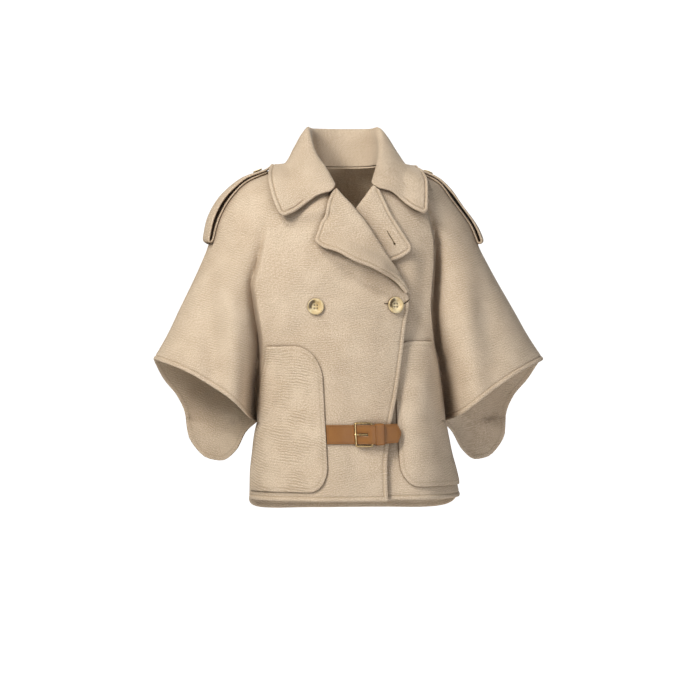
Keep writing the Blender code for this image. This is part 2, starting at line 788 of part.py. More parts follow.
def pocket_heights(pocket):
    """Rows from top to bottom, closer together at the rounded corners."""
    share = 0.5 - 0.5 * np.cos(np.linspace(0, math.pi, POCKET_ROWS + 1))
    even = np.linspace(0, 1, POCKET_ROWS + 1)
    return pocket["top"] + (pocket["bottom"] - pocket["top"]) * (0.7 * share + 0.3 * even)


def raised(grid, lift, flip=False):
    normal = grid_normals(grid, np.ones((grid.shape[0] - 1, grid.shape[1] - 1), bool))
    return grid + normal * (-lift if flip else lift)


def pocket_grid(side):
    pocket = POCKETS[side]
    rows = []
    for z in pocket_heights(pocket):
        x = body_columns(FRONT, side, pocket_inner(pocket, z), z, POCKET_COLUMNS, POCKET_REACH)
        rows.append(panel_points(FRONT, side, x, np.full_like(x, z)))
    return raised(np.array(rows), POCKET_LIFT + POCKET_CLOTH, flip=side == RIGHT)


def make_pockets():
    for side in (RIGHT, LEFT):
        wall(POCKETS[side]["name"], pocket_grid(side), POCKET_CLOTH, WOOL, flip=side == RIGHT)


# ---------------------------------------------------------------- shoulder tabs

TAB = table(
    "along  z    half_width height",
    (0.00,  -19, 15,        15.0),
    (0.07,  -21, 23,        15.0),
    (0.30,  -36, 25,        14.0),
    (0.60,  -67, 28,        14.5),
    (0.85,  -112, 30,       14.0),
    (1.00,  -147, 30,       13.0),
)
TAB_BASE = 1.0            # underside of the tab above the shoulder
TAB_LENGTH = 190.0        # along the shoulder, from the neck to the fold
TAB_FROM, TAB_FOLD = 0.06, 0.965    # where its underside starts and where it turns back
TAB_REACH_DOWN = 70.0     # no part of it lies further below the shoulder seam than this
TAB_STATIONS = 9
TAB_TURNS = 5
TAB_COLUMNS = 4
TAB_BUTTON_PLACE = 0.12
TAB_BUTTON_RADIUS = 9.0


def shoulder_point(side, along, across, lift):
    """Point above the shoulder seam: how far along a tab, how far to the front (minus)."""
    seam_z = read(TAB, "z", along, key="along")
    seam_x = half_width(seam_z)
    run = half_width(seam_z - 1.0) - half_width(seam_z + 1.0)
    run = np.stack([run, np.full_like(run, -2.0)], axis=-1)
    run /= np.linalg.norm(run, axis=-1, keepdims=True)
    shape = np.broadcast(seam_z, across).shape
    low = np.full(shape, seam_z - TAB_REACH_DOWN)
    high = np.full(shape, seam_z)
    for _ in range(24):
        middle = (low + high) / 2
        section = np.where(across < 0, middle_depth(FRONT, middle), middle_depth(BACK, middle))
        x = half_width(middle) * np.sqrt(np.clip(1 - (across / section) ** 2, 0, 1))
        beyond = (x - seam_x) * run[..., 0] + (middle - seam_z) * run[..., 1]
        low, high = np.where(beyond > 0, middle, low), np.where(beyond > 0, high, middle)
    point = np.stack([x, across + 0 * x, middle], axis=-1)
    _, out = oval_gap(point)
    point = point + out * np.asarray(lift, float)[..., None]
    return point * (side, 1, 1)


def tab_grid(side):
    """The tab's outside: along under itself, round its fold and back over the top."""
    radius = (read(TAB, "height", 1.0, key="along") - TAB_BASE) / 2
    path = [(a, TAB_BASE) for a in np.linspace(TAB_FROM, TAB_FOLD, TAB_STATIONS)]
    for turn in np.radians(np.linspace(-65, 65, TAB_TURNS)):
        path.append((TAB_FOLD + radius * math.cos(turn) / TAB_LENGTH,
                     TAB_BASE + radius + radius * math.sin(turn)))
    top = np.concatenate([np.linspace(TAB_FOLD, TAB_FROM, TAB_STATIONS), [0.0]])
    path += [(a, float(read(TAB, "height", a, key="along"))) for a in top]
    across = np.linspace(-1, 1, TAB_COLUMNS + 1)
    rows = []
    for a, lift in path:
        half = float(read(TAB, "half_width", a, key="along"))
        place_along, height = np.full_like(across, a), np.full_like(across, lift)
        rows.append(shoulder_point(side, place_along, across * half, height))
    return np.array(rows)


def make_tabs():
    for side, name in ((RIGHT, "epaulette_right"), (LEFT, "epaulette_left")):
        wall(name, tab_grid(side), TAB_CLOTH, WOOL, flip=side == LEFT)


# ---------------------------------------------------------------- buttons

BUTTON_RADIUS = 14.7
BUTTON_THICKNESS = 4.0
BUTTON_HOLE = 1.3
BUTTON_HOLE_SPACING = 3.0
BUTTON_X, BUTTON_Z = 73.5, -262.0


def button_mesh(radius, thickness):
    """A turned button with a raised rim and a dished middle, before its holes are cut."""
    rim = 0.17 * radius
    profile = ((0.0, 0.55), (radius - 2.0 * rim, 0.58), (radius - 1.3 * rim, 0.95),
               (radius - 0.6 * rim, 1.0), (radius - 0.15 * rim, 0.86), (radius, 0.6),
               (radius - 0.1 * rim, 0.3), (radius - 0.8 * rim, 0.0), (0.0, 0.0))
    mesh = bpy.data.meshes.new("button_profile")
    mesh.from_pydata([(x * MM, 0, height * thickness * MM) for x, height in profile],
                     [(i, i + 1) for i in range(len(profile) - 1)], [])
    return mesh


def set_button(name, radius, thickness, point, out, spacing, hole):
    """A four-hole button that lies on a point of the cloth, facing straight out of it."""
    obj = new_object(name, button_mesh(radius, thickness), HORN)
    turn = obj.modifiers.new("turned", "SCREW")
    turn.steps = turn.render_steps = 24
    turn.use_merge_vertices = True
    turn.merge_threshold = 0.00001
    turn.use_smooth_shade = True
    upright = Vector((0, 0, 1))
    out = Vector(out)
    across = upright.cross(out).normalized()
    up = out.cross(across)
    facing = Matrix((across, up, out)).transposed().to_4x4()
    obj.matrix_world = Matrix.Translation(Vector(place(point))) @ facing
    for i, (sx, sy) in enumerate(((1, 1), (-1, 1), (-1, -1), (1, -1))):
        bpy.ops.mesh.primitive_cylinder_add(vertices=8, radius=hole * MM, depth=0.02)
        cutter = bpy.context.object
        cutter.name = f"{name}_hole_{i}"
        for collection in list(cutter.users_collection):
            collection.objects.unlink(cutter)
        CUTTERS.objects.link(cutter)
        cutter.matrix_world = obj.matrix_world @ Matrix.Translation(
            Vector((sx * spacing / 2 * MM, sy * spacing / 2 * MM, 0)))
        cutter.hide_render = True
        cutter.display_type = "WIRE"
        cut = obj.modifiers.new(f"hole_{i}", "BOOLEAN")
        cut.operation = "DIFFERENCE"
        cut.object = cutter
    return obj


def make_buttons():
    for name, x in (("button_facing", -BUTTON_X), ("button_closing", BUTTON_X)):
        low = front_point(x, BUTTON_Z, 0.7)
        out = front_point(x, BUTTON_Z, 1.7) - low
        set_button(name, BUTTON_RADIUS, BUTTON_THICKNESS, low, out, 2 * BUTTON_HOLE_SPACING, BUTTON_HOLE)
    for side, name in ((RIGHT, "epaulette_button_right"), (LEFT, "epaulette_button_left")):
        height = float(read(TAB, "height", TAB_BUTTON_PLACE, key="along")) + 0.5
        low = shoulder_point(side, np.array(TAB_BUTTON_PLACE), np.array(0.0), height)
        high = shoulder_point(side, np.array(TAB_BUTTON_PLACE), np.array(0.0), height + 1)
        set_button(name, TAB_BUTTON_RADIUS, 3.0, low, (high - low), 3.6, 0.9)


# ---------------------------------------------------------------- strap and buckle

STRAP_Z = -494.5
STRAP_HALF = 17.2
BAR_RADIUS = 1.5
LEFT_BAR, RIGHT_BAR = (-12.4, 5.0), (17.0, 6.4)      # place across, height above the front
BUCKLE_HALF, BUCKLE_CORNER = 20.6, 3.4
PRONG_RADIUS = 1.1
SLOT_HALF = 2.2

STRAP = table(
    "x     height",          # middle of the leather above the front
    (-63.5, 1.9),
    (-40,  1.9),
    (-18,  2.0),
    (-12,  2.2),
    (-6,   3.9),
    (1,    7.2),
    (9,    11.2),
    (17,   12.3),
    (25,   11.6),
    (38,   9.4),
    (54,   6.8),
    (70,   4.6),
)
KEEPER = dict(near=23.0, far=37.5, half=19.4, low=0.5, high=15.0, corner=2.0, wall=1.4)


def belt_z(x):
    return STRAP_Z + 2.6 * np.clip(x / 70.0, 0, 1) ** 2


def belt_point(x, height, across):
    """Point over the front at the strap's level; across runs up the coat."""
    x = np.asarray(x, float)
    return front_point(x, belt_z(x) + across, height)


def strap_outline(x):
    """Half width of the strap, drawn in towards its blunt point."""
    return STRAP_HALF * (1 - 0.42 * np.clip((x - 64) / 6, 0, 1) ** 1.4)


def leather_grid(path, half, columns):
    """Outside of a strap from (x, height of its middle) stations, widths and columns."""
    path = np.asarray(path, float)
    run = np.gradient(path, axis=0)
    run /= np.linalg.norm(run, axis=-1, keepdims=True)
    out = np.stack([-run[:, 1], run[:, 0]], axis=-1)
    skin = path + out * (LEATHER / 2)
    across = np.asarray(half)[:, None] * np.asarray(columns)[None, :]
    return belt_point(skin[:, :1] + 0 * across, skin[:, 1:] + 0 * across, across)


def make_strap():
    x = np.concatenate([np.linspace(-63.5, -14, 7), [-10, -6, -2, 2, 6, 9.5, 13, 17, 21, 26],
                        np.linspace(33, 70, 8)])
    path = np.stack([x, read(STRAP, "height", x, key="x")], axis=-1)
    slot = SLOT_HALF / STRAP_HALF
    columns = (-1, -0.55, -slot, slot, 0.55, 1)
    grid = leather_grid(path, strap_outline(x), columns)
    present = np.ones((len(x) - 1, len(columns) - 1), bool)
    present[(x[:-1] >= -6) & (x[1:] <= 9.5), 2] = False
    wall("strap", grid, LEATHER, LEATHER_TAN, present)


def make_buckle_strap():
    bar_x, bar_height = RIGHT_BAR
    radius = BAR_RADIUS + 0.5 + LEATHER / 2
    path = [(20.5, bar_height + radius - 0.2)]
    for turn in np.radians(np.linspace(90, 270, 9)):
        path.append((bar_x + radius * math.cos(turn), bar_height + radius * math.sin(turn)))
    path += [(24, bar_height - radius), (31, 3.3), (38, 3.2), (47, 2.2), (56, 1.8),
             (60.5, -0.6), (64.3, -3.8)]
    slot = (SLOT_HALF + 0.4) / STRAP_HALF
    columns = (-1, -slot, slot, 1)
    grid = leather_grid(path, np.full(len(path), STRAP_HALF - 0.4), columns)
    present = np.ones((len(path) - 1, 3), bool)
    present[:11, 1] = False
    wall("buckle_strap", grid, LEATHER, LEATHER_TAN, present)


def make_keeper():
    low, high, half, corner = KEEPER["low"], KEEPER["high"], KEEPER["half"], KEEPER["corner"]
    ring = []
    for cx, cy, start in ((half - corner, high - corner, 0), (-half + corner, high - corner, 90),
                          (-half + corner, low + corner, 180), (half - corner, low + corner, 270)):
        for turn in np.radians(start + np.array([0, 45, 90])):
            ring.append((cx + corner * math.cos(turn), cy + corner * math.sin(turn)))
    ring = np.array(ring)
    rows = [belt_point(np.full(len(ring), x), ring[:, 1], ring[:, 0])
            for x in np.linspace(KEEPER["near"], KEEPER["far"], 3)]
    wall("keeper", np.array(rows), KEEPER["wall"], LEATHER_TAN, ring=True, flip=True)


def tube(name, points, radius, material, cyclic=False):
    """A round bar along a route, as a curve with a bevel."""
    curve = bpy.data.curves.new(name, "CURVE")
    curve.dimensions = "3D"
    curve.bevel_depth = radius * MM
    curve.bevel_resolution = 2
    curve.use_fill_caps = True
    line = curve.splines.new("POLY")
    line.points.add(len(points) - 1)
    for spot, point in zip(line.points, place(points)):
        spot.co = (*point, 1.0)
    line.use_cyclic_u = cyclic
    line.use_smooth = True
    return new_object(name, curve, material)


def make_buckle():
    (left_x, left_height), (right_x, right_height) = LEFT_BAR, RIGHT_BAR
    near, far, half = left_x + BUCKLE_CORNER, right_x - BUCKLE_CORNER, BUCKLE_HALF - BUCKLE_CORNER
    outline = []
    for cx, cz, start in ((far, half, 0), (near, half, 90), (near, -half, 180), (far, -half, 270)):
        for turn in np.radians(start + np.linspace(0, 90, 4)):
            outline.append((cx + BUCKLE_CORNER * math.cos(turn), cz + BUCKLE_CORNER * math.sin(turn)))
    outline = np.array(outline)
    tilt = left_height + (right_height - left_height) * (outline[:, 0] - left_x) / (right_x - left_x)
    points = belt_point(outline[:, 0], tilt, outline[:, 1])
    tube("buckle_frame", points, BAR_RADIUS, BRASS, cyclic=True)
    eye = BAR_RADIUS + 0.3 + PRONG_RADIUS
    path = [(right_x + eye * math.cos(t), right_height + eye * math.sin(t))
            for t in np.radians(np.linspace(-20, -250, 8))]
    rest = left_height + BAR_RADIUS + PRONG_RADIUS + 0.3
    path += [(8.0, rest + 0.2), (-4.0, rest + 0.2), (left_x, rest), (left_x - 2.2, rest - 0.5)]
    path = np.array(path)
    tube("buckle_prong", belt_point(path[:, 0], path[:, 1], np.zeros(len(path))), PRONG_RADIUS, BRASS)


# ---------------------------------------------------------------- scene and materials


def principled(name, colour, roughness, metallic=0.0):
    material = bpy.data.materials.new(name)
    material.use_nodes = True
    shader = material.node_tree.nodes["Principled BSDF"]
    shader.inputs["Base Color"].default_value = (*colour, 1.0)
    shader.inputs["Roughness"].default_value = roughness
    shader.inputs["Metallic"].default_value = metallic
    return material


for old in list(bpy.data.objects):
    bpy.data.objects.remove(old, do_unlink=True)
COAT = bpy.data.collections.new("wool_cape_coat")
bpy.context.scene.collection.children.link(COAT)
CUTTERS = bpy.data.collections.new("cutters")
bpy.context.scene.collection.children.link(CUTTERS)

WOOL = principled("beige_wool", (0.62, 0.47, 0.31), 0.92)
LEATHER_TAN = principled("tan_leather", (0.30, 0.13, 0.05), 0.5)
BRASS = principled("pale_brass", (0.80, 0.60, 0.33), 0.28, 1.0)
HORN = principled("pale_horn", (0.48, 0.38, 0.22), 0.35)

make_panels()
make_lapels()
make_collar()
make_pockets()
make_tabs()
make_buttons()
make_strap()
make_buckle_strap()
make_keeper()
make_buckle()
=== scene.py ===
"""Looks of the wool cape coat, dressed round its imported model.

The coat is double-faced wool: two fronts and a back with half wings for sleeves, a
large collar, turned lapels, patch pockets, folded shoulder tabs, horn buttons and a
leather strap with a brass buckle. Each cloth piece is a thin shell on the form of its
solid, with turned edges, topstitching and a brushed nap.

Frame: the origin is at the base of the neck, level with the shoulders. +Z is up, the
front faces -Y, the wearer's left is +X. Shapes are worked out in millimetres, in the
coat's own upright frame, and scaled to metres as they become meshes.
"""
from __future__ import annotations

import logging
import math
from collections.abc import Callable, Sequence
from dataclasses import dataclass
from enum import Enum, IntEnum

import bpy
import numpy as np
from mathutils import Matrix, Vector


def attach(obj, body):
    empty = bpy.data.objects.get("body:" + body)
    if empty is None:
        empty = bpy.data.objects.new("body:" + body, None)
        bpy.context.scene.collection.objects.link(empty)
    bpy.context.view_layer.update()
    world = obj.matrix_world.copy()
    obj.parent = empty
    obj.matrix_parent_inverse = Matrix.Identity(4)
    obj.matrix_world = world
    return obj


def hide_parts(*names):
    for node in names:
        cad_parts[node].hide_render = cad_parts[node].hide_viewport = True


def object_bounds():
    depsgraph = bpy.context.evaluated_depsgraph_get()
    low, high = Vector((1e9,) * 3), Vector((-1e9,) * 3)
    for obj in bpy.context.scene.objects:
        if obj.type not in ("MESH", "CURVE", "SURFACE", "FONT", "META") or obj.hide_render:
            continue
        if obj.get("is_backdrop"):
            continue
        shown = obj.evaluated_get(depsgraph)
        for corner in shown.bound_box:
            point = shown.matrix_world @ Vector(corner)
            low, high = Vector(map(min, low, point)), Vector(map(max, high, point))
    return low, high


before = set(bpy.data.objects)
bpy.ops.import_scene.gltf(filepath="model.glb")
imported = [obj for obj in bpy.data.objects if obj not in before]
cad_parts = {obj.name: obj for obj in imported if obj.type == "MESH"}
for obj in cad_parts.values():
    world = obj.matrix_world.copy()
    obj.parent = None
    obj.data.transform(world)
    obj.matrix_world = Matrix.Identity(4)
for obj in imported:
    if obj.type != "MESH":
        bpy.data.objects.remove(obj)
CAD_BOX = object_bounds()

Array = np.ndarray
Sections = dict[str, Array]

MM = 0.001
BODY = "root"
UV_NAME = "cloth"
GROOVE_NAME = "groove"
log = logging.getLogger("cape_coat")


class Side(IntEnum):
    """The wearer's sides, as signs of X."""

    RIGHT = -1
    LEFT = 1

    def of(self, piece: str) -> str:
        """Names the piece of this side."""
        return f"{piece}_{self.name.lower()}"


class Face(IntEnum):
    """Front and back of the coat, as signs of Y."""

    FRONT = -1
    BACK = 1


class Slot(Enum):
    """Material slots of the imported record."""

    WOOL = "wool"
    LEATHER = "leather"
    HORN = "horn"
    BRASS = "brass"


# ---------------------------------------------------------------- curves and tables


def table(names: str, *rows: Sequence[float]) -> Sections:
    """Makes a short table with one row for each section.

    Args:
        names: the columns' names, apart by spaces.
        *rows: one value for each column.

    Returns:
        Each column's values under its name.
    """
    return {name: np.array(column, float) for name, column in zip(names.split(), zip(*rows))}


def eased(t: Array, step: Array, values: tuple[Array, Array], slopes: tuple[Array, Array]) -> Array:
    """Passes smoothly from one value to the next.

    Args:
        t: share of the way, from 0 to 1.
        step: length of the way.
        values: the values at its two ends.
        slopes: the slopes there.

    Returns:
        The values on the way.
    """
    return ((1 + 2 * t) * (1 - t) ** 2 * values[0] + t * (1 - t) ** 2 * step * slopes[0]
            + t * t * (3 - 2 * t) * values[1] + t * t * (t - 1) * step * slopes[1])


def curve_through(xs: Array, ys: Array, at: Array | float) -> Array:
    """Reads a smooth curve through points, which never overshoots them.

    Args:
        xs: places of the points, in any order.
        ys: values there.
        at: places to read.

    Returns:
        The curve's values, held level past its ends.
    """
    order = np.argsort(xs)
    xs, ys = xs[order], ys[order]
    step = np.diff(xs)
    rise = np.diff(ys) / step
    slope = np.zeros_like(ys)
    same = rise[:-1] * rise[1:] > 0
    slope[1:-1][same] = 2.0 / (1.0 / rise[:-1][same] + 1.0 / rise[1:][same])
    slope[0], slope[-1] = rise[0], rise[-1]
    at = np.clip(np.asarray(at, float), xs[0], xs[-1])
    cell = np.clip(np.searchsorted(xs, at, side="right") - 1, 0, len(step) - 1)
    return eased((at - xs[cell]) / step[cell], step[cell], (ys[cell], ys[cell + 1]),
                 (slope[cell], slope[cell + 1]))


def read(rows: Sections, column: str, at: Array | float, key: str = "z") -> Array:
    """Reads a column of a table at places along its key column."""
    return curve_through(rows[key], rows[column], at)


def ease(t: Array | float) -> Array:
    """Steps softly from 0 below 0 to 1 above 1."""
    t = np.clip(t, 0.0, 1.0)
    return t * t * (3 - 2 * t)


def hump(place: Array, middle: Array | float, width: Array | float) -> Array:
    """Rises softly to 1 in the middle of a hump and back to 0."""
    return np.exp(-((place - middle) / width) ** 2)


def strung(points: Array, places: Array) -> Array:
    """Reads a smooth curve that runs through a few points.

    Args:
        points: the points, or rows of values, along the curve.
        places: where to read it, from 0 at its start to 1 at its end.

    Returns:
        One point for each place.
    """
    points = np.asarray(points, float)
    chord = np.linalg.norm(np.diff(points, axis=0), axis=-1) ** 0.5
    at = np.concatenate([[0], np.cumsum(chord)])
    at /= at[-1]
    tangent = np.gradient(points, at, axis=0)
    cell = np.clip(np.searchsorted(at, places, side="right") - 1, 0, len(chord) - 1)
    step = (at[cell + 1] - at[cell])[:, None]
    return eased((places - at[cell])[:, None] / step, step, (points[cell], points[cell + 1]),
                 (tangent[cell], tangent[cell + 1]))


def soft_noise(x: Array, y: Array, seed: int) -> Array:
    """Smooth noise from -1 to 1 over a plane, with one cell to each unit.

    Args:
        x: first coordinate, in cells.
        y: second coordinate, in cells.
        seed: picks the pattern.

    Returns:
        The noise at each place.
    """
    size = 64
    lattice = np.random.default_rng(seed).uniform(-1, 1, (size, size))
    x, y = np.broadcast_arrays(x, y)
    i, j = np.floor(x).astype(int), np.floor(y).astype(int)
    u, v = ease(x - i), ease(y - j)
    low, high = (lattice[i % size, row % size] * (1 - u) + lattice[(i + 1) % size, row % size] * u
                 for row in (j, j + 1))
    return low * (1 - v) + high * v


# ---------------------------------------------------------------- grids of points


def unit(vectors: Array) -> Array:
    """Scales vectors to a length of 1, and leaves at 0 those that have none."""
    size = np.linalg.norm(vectors, axis=-1, keepdims=True)
    return np.divide(vectors, size, out=np.zeros_like(vectors), where=size > 1e-9)


def run_along(grid: Array, axis: int) -> Array:
    """Length along each row (axis 1) or column (axis 0) of a grid, from its start to each point."""
    run = np.cumsum(np.linalg.norm(np.diff(grid, axis=axis), axis=-1), axis=axis)
    return np.pad(run, ((0, 0), (1, 0)) if axis else ((1, 0), (0, 0)))


def spread_out(grid: Array, lead: Sequence[float], count: int, tail: Sequence[float]) -> Array:
    """Takes new points along each line of a grid, by their length along it.

    Args:
        grid: lines of points, closer together than the new ones.
        lead: distances of the first points from the line's start, which begin with 0.
        count: number of even points between lead and tail.
        tail: distances of the last points from the line's end, which begin with 0.

    Returns:
        The new lines, each with the same number of points.
    """
    lead, tail = np.asarray(lead, float), np.asarray(tail, float)
    at = run_along(grid, 1)
    result = np.empty((len(grid), len(lead) + count + len(tail), 3))
    for row, line in enumerate(grid):
        length = at[row, -1]
        squeeze = min(1.0, 0.45 * length / max(lead[-1], tail[-1], 1e-6))
        first, last = lead * squeeze, length - tail[::-1] * squeeze
        places = np.concatenate([first, np.linspace(first[-1], last[0], count + 2)[1:-1], last])
        for axis in range(3):
            result[row, :, axis] = np.interp(places, at[row], line[:, axis])
    return result


def spread_both(grid: Array, rows: tuple, columns: tuple) -> Array:
    """Takes new points along a grid's rows and then along its columns.

    Args:
        grid: lines of points.
        rows: lead, count and tail across the columns.
        columns: lead, count and tail down the rows.

    Returns:
        The new grid.
    """
    grid = spread_out(grid, *rows)
    return spread_out(grid.swapaxes(0, 1), *columns).swapaxes(0, 1)


def grid_normals(grid: Array, present: Array | bool = True) -> Array:
    """Unit normals of a grid of points, where the two sides of a column count the same.

    Args:
        grid: rows of points.
        present: which cells hold cloth.

    Returns:
        One normal for each point.
    """
    cell = np.cross(grid[:-1, 1:] - grid[1:, :-1], grid[:-1, :-1] - grid[1:, 1:])
    cell = unit(np.where(np.asarray(present)[..., None], cell, 0.0))
    total = np.zeros_like(grid)
    for shift in (0, 1):
        half = np.zeros_like(grid)
        for rows in (slice(None, -1), slice(1, None)):
            half[rows, shift:grid.shape[1] - 1 + shift] += cell
        total += unit(half)
    return unit(total)


def turned_in(grid: Array, out: Array) -> bool:
    """Says whether a grid's normals point against the way out of it."""
    return float((grid_normals(grid) * out).sum()) < 0


def segment_distance(points: Array, starts: Array, ends: Array) -> Array:
    """Distance from each point to the nearest of some segments.

    Args:
        points: the points.
        starts: one end of each segment.
        ends: its other end.

    Returns:
        The distance of each point from the nearest segment.
    """
    nearest = np.full(len(points), 1e9)
    run = ends - starts
    length = np.maximum((run ** 2).sum(-1), 1e-12)
    batch = 2000
    for first in range(0, len(points), batch):
        away = points[first:first + batch, None] - starts[None]
        along = np.clip((away * run[None]).sum(-1) / length, 0, 1)
        gap = away - along[..., None] * run[None]
        nearest[first:first + batch] = np.sqrt((gap ** 2).sum(-1).min(axis=1))
    return nearest


def quarter_oval(u: Array, v: Array, width: float, height: float) -> tuple[Array, Array]:
    """Finds how far places near a corner move for its outline to be a quarter oval.

    Args:
        u: distances from one of the corner's edges.
        v: distances from the other.
        width: how far along u the rounding reaches.
        height: how far along v it reaches.

    Returns:
        The moves along u and along v.
    """
    a, b = np.clip(1 - u / width, 0, 1), np.clip(1 - v / height, 0, 1)
    return width * (a - a * np.sqrt(1 - b ** 2 / 2)), height * (b - b * np.sqrt(1 - a ** 2 / 2))


def rounded_corner(grid: Array, row_end: int, column_end: int, radius: float) -> Array:
    """Rounds off one corner of a grid in its own surface.

    Args:
        grid: rows of points.
        row_end: 0 or -1, the corner's row.
        column_end: 0 or -1, the corner's column.
        radius: how far from the corner the rounding starts.

    Returns:
        The grid with the corner's points moved.
    """
    view = grid[::-1] if row_end else grid
    view = view[:, ::-1] if column_end else view
    near = 60
    block = view[:near, :near].copy()
    moves = quarter_oval(run_along(block, 1), run_along(block, 0), radius, radius)
    across, down = (unit(np.gradient(block, axis=axis)) * move[..., None]
                    for axis, move in zip((1, 0), moves))
    view[:near, :near] = block + across + down
    return grid


def rounded_ring(low: tuple[float, float], high: tuple[float, float], corner: float, first: int,
                 steps: int) -> list[tuple[float, float]]:
    """Makes a rectangle with rounded corners, as a ring of points.

    Args:
        low: its lower left corner.
        high: its upper right corner.
        corner: radius of its corners.
        first: quarter turns from the upper right corner to the first one.
        steps: points in each corner.

    Returns:
        The ring, counterclockwise.
    """
    middles = ((high[0] - corner, high[1] - corner), (low[0] + corner, high[1] - corner),
               (low[0] + corner, low[1] + corner), (high[0] - corner, low[1] + corner))
    ring = []
    for quarter in ((first + i) % 4 for i in range(4)):
        x, y = middles[quarter]
        ring += [(x + corner * math.cos(turn), y + corner * math.sin(turn))
                 for turn in np.radians(90 * quarter + np.linspace(0, 90, steps))]
    return ring


# ---------------------------------------------------------------- the coat's own sizes

# Horizontal sections of the whole cape: half width at the shoulder seam, depths at the middle.
CAPE = table(
    "z      half_width front_depth back_depth",
    (0,     62,        52,         60),
    (-6,    97,        64,         72),
    (-13,   128,       74,         82),
    (-22,   157,       83,         91),
    (-36,   188,       93,         100),
    (-55,   209,       102,        108),
    (-80,   228,       110,        115),
    (-110,  242,       117,        121),
    (-150,  252,       124,        126),
    (-188,  269,       129,        129),
    (-210,  280,       131,        130),
    (-270,  312,       134,        131),
    (-312,  334,       136,        132),
    (-359,  363,       138,        133),
    (-420,  402,       139,        134),
    (-475,  436,       140,        135),
    (-560,  490,       142,        139),
    (-660,  550,       144,        143),
)

# Where the body parts from the wing: the crease's place and how far it has closed
# towards the side seam, for the wearer's right and left.
CREASE = {
    Side.RIGHT: table(
        "z     x    closed",
        (-40,  200, 0.00),
        (-150, 184, 0.03),
        (-252, 176, 0.12),
        (-335, 168, 0.30),
        (-408, 176, 0.62),
        (-450, 178, 0.88),
        (-475, 177, 1.00),
    ),
    Side.LEFT: table(
        "z     x    closed",
        (-40,  165, 0.00),
        (-110, 156, 0.05),
        (-170, 154, 0.10),
        (-268, 145, 0.20),
        (-325, 149, 0.33),
        (-372, 158, 0.50),
        (-421, 164, 0.74),
        (-455, 166, 0.92),
        (-475, 166, 1.00),
    ),
}

# The body below the underarm: half width on each side, and how square its section is.
HIPS = table(
    "z     right left squareness",
    (-40,  0,    0,   2.00),
    (-250, 0,    0,   2.10),
    (-475, 177,  166, 2.35),
    (-505, 185,  171, 2.38),
    (-530, 189,  175, 2.40),
    (-570, 195,  184, 2.42),
    (-660, 200,  198, 2.45),
)

# Hem of a front wing and of a back wing, from the underarm (0) to the tip (1).
FRONT_WING_HEM = table(
    "along  x    z",
    (0.00,  171, -475),
    (0.10,  190, -465),
    (0.28,  220, -439),
    (0.45,  254, -414),
    (0.66,  297, -387),
    (0.83,  331, -371),
    (1.00,  363, -359),
)

BACK_WING_HEM = table(
    "along  x    z",
    (0.00,  171, -475),
    (0.08,  192, -494),
    (0.20,  212, -529),
    (0.32,  240, -549),
    (0.42,  265, -545),
    (0.52,  287, -526),
    (0.62,  301, -500),
    (0.72,  305, -462),
    (0.82,  319, -428),
    (0.92,  344, -396),
    (1.00,  363, -359),
)

# Free edge of each front from the neck down: how far it lies past the middle (minus)
# or short of it (plus), seen from the front's own side.
EDGE_BELOW_LAPELS = ((-299, -92), (-371, -79), (-431, -66.5), (-472, -55.5), (-513, -48),
                     (-560, -43), (-640, -41))

FRONT_EDGE = {
    Side.RIGHT: table(
        "z x", (0, 62), (-3, 62), (-8, 59), (-22, 47.5), (-42, 35), (-67, 19), (-94, -2),
        (-122, -23), (-151, -41), (-187, -63), (-209, -77), (-225, -87), (-238, -95), (-250, -101),
        *EDGE_BELOW_LAPELS),
    Side.LEFT: table(
        "z x", (0, 63), (-3, 63), (-8, 61.5), (-22, 57), (-40, 49), (-53, 42), (-72, 29), (-94, 13),
        (-122, -8), (-151, -30), (-187, -56), (-225, -84), (-250, -98), *EDGE_BELOW_LAPELS),
}

# Height of the hem: in the middle of each front, at each side seam and in the middle behind.
HEM_FRONT_Z = {Side.RIGHT: -615.0, Side.LEFT: -613.0}
HEM_SIDE_Z = {Side.RIGHT: -616.0, Side.LEFT: -609.0}
HEM_BACK_Z = -641.0

# Soft folds that hang in each panel: their places at top and bottom, their width and height.
FOLDS = table(
    "face  side  x_top x_low z_top z_low width height",
    (-1,   -1,   228,  216,  -170, -430, 17,   8.0),
    (-1,   -1,   255,  261,  -165, -400, 15,   -11.5),
    (-1,   -1,   60,   72,   -330, -600, 40,   3.0),
    (-1,   1,    214,  208,  -150, -430, 18,   6.0),
    (-1,   1,    138,  156,  -110, -410, 28,   -7.0),
    (-1,   1,    238,  256,  -170, -400, 19,   -5.5),
    (-1,   1,    120,  128,  -300, -560, 30,   3.0),
    (1,    -1,   228,  286,  -170, -520, 20,   9.0),
    (1,    -1,   190,  222,  -200, -540, 17,   -9.0),
    (1,    -1,   70,   88,   -240, -640, 30,   7.0),
    (1,    -1,   20,   28,   -300, -640, 28,   -5.0),
    (1,    1,    222,  284,  -180, -520, 20,   8.5),
    (1,    1,    186,  218,  -210, -540, 18,   -9.5),
    (1,    1,    58,   78,   -260, -640, 34,   6.5),
    (1,    1,    118,  128,  -220, -620, 24,   -5.0),
)

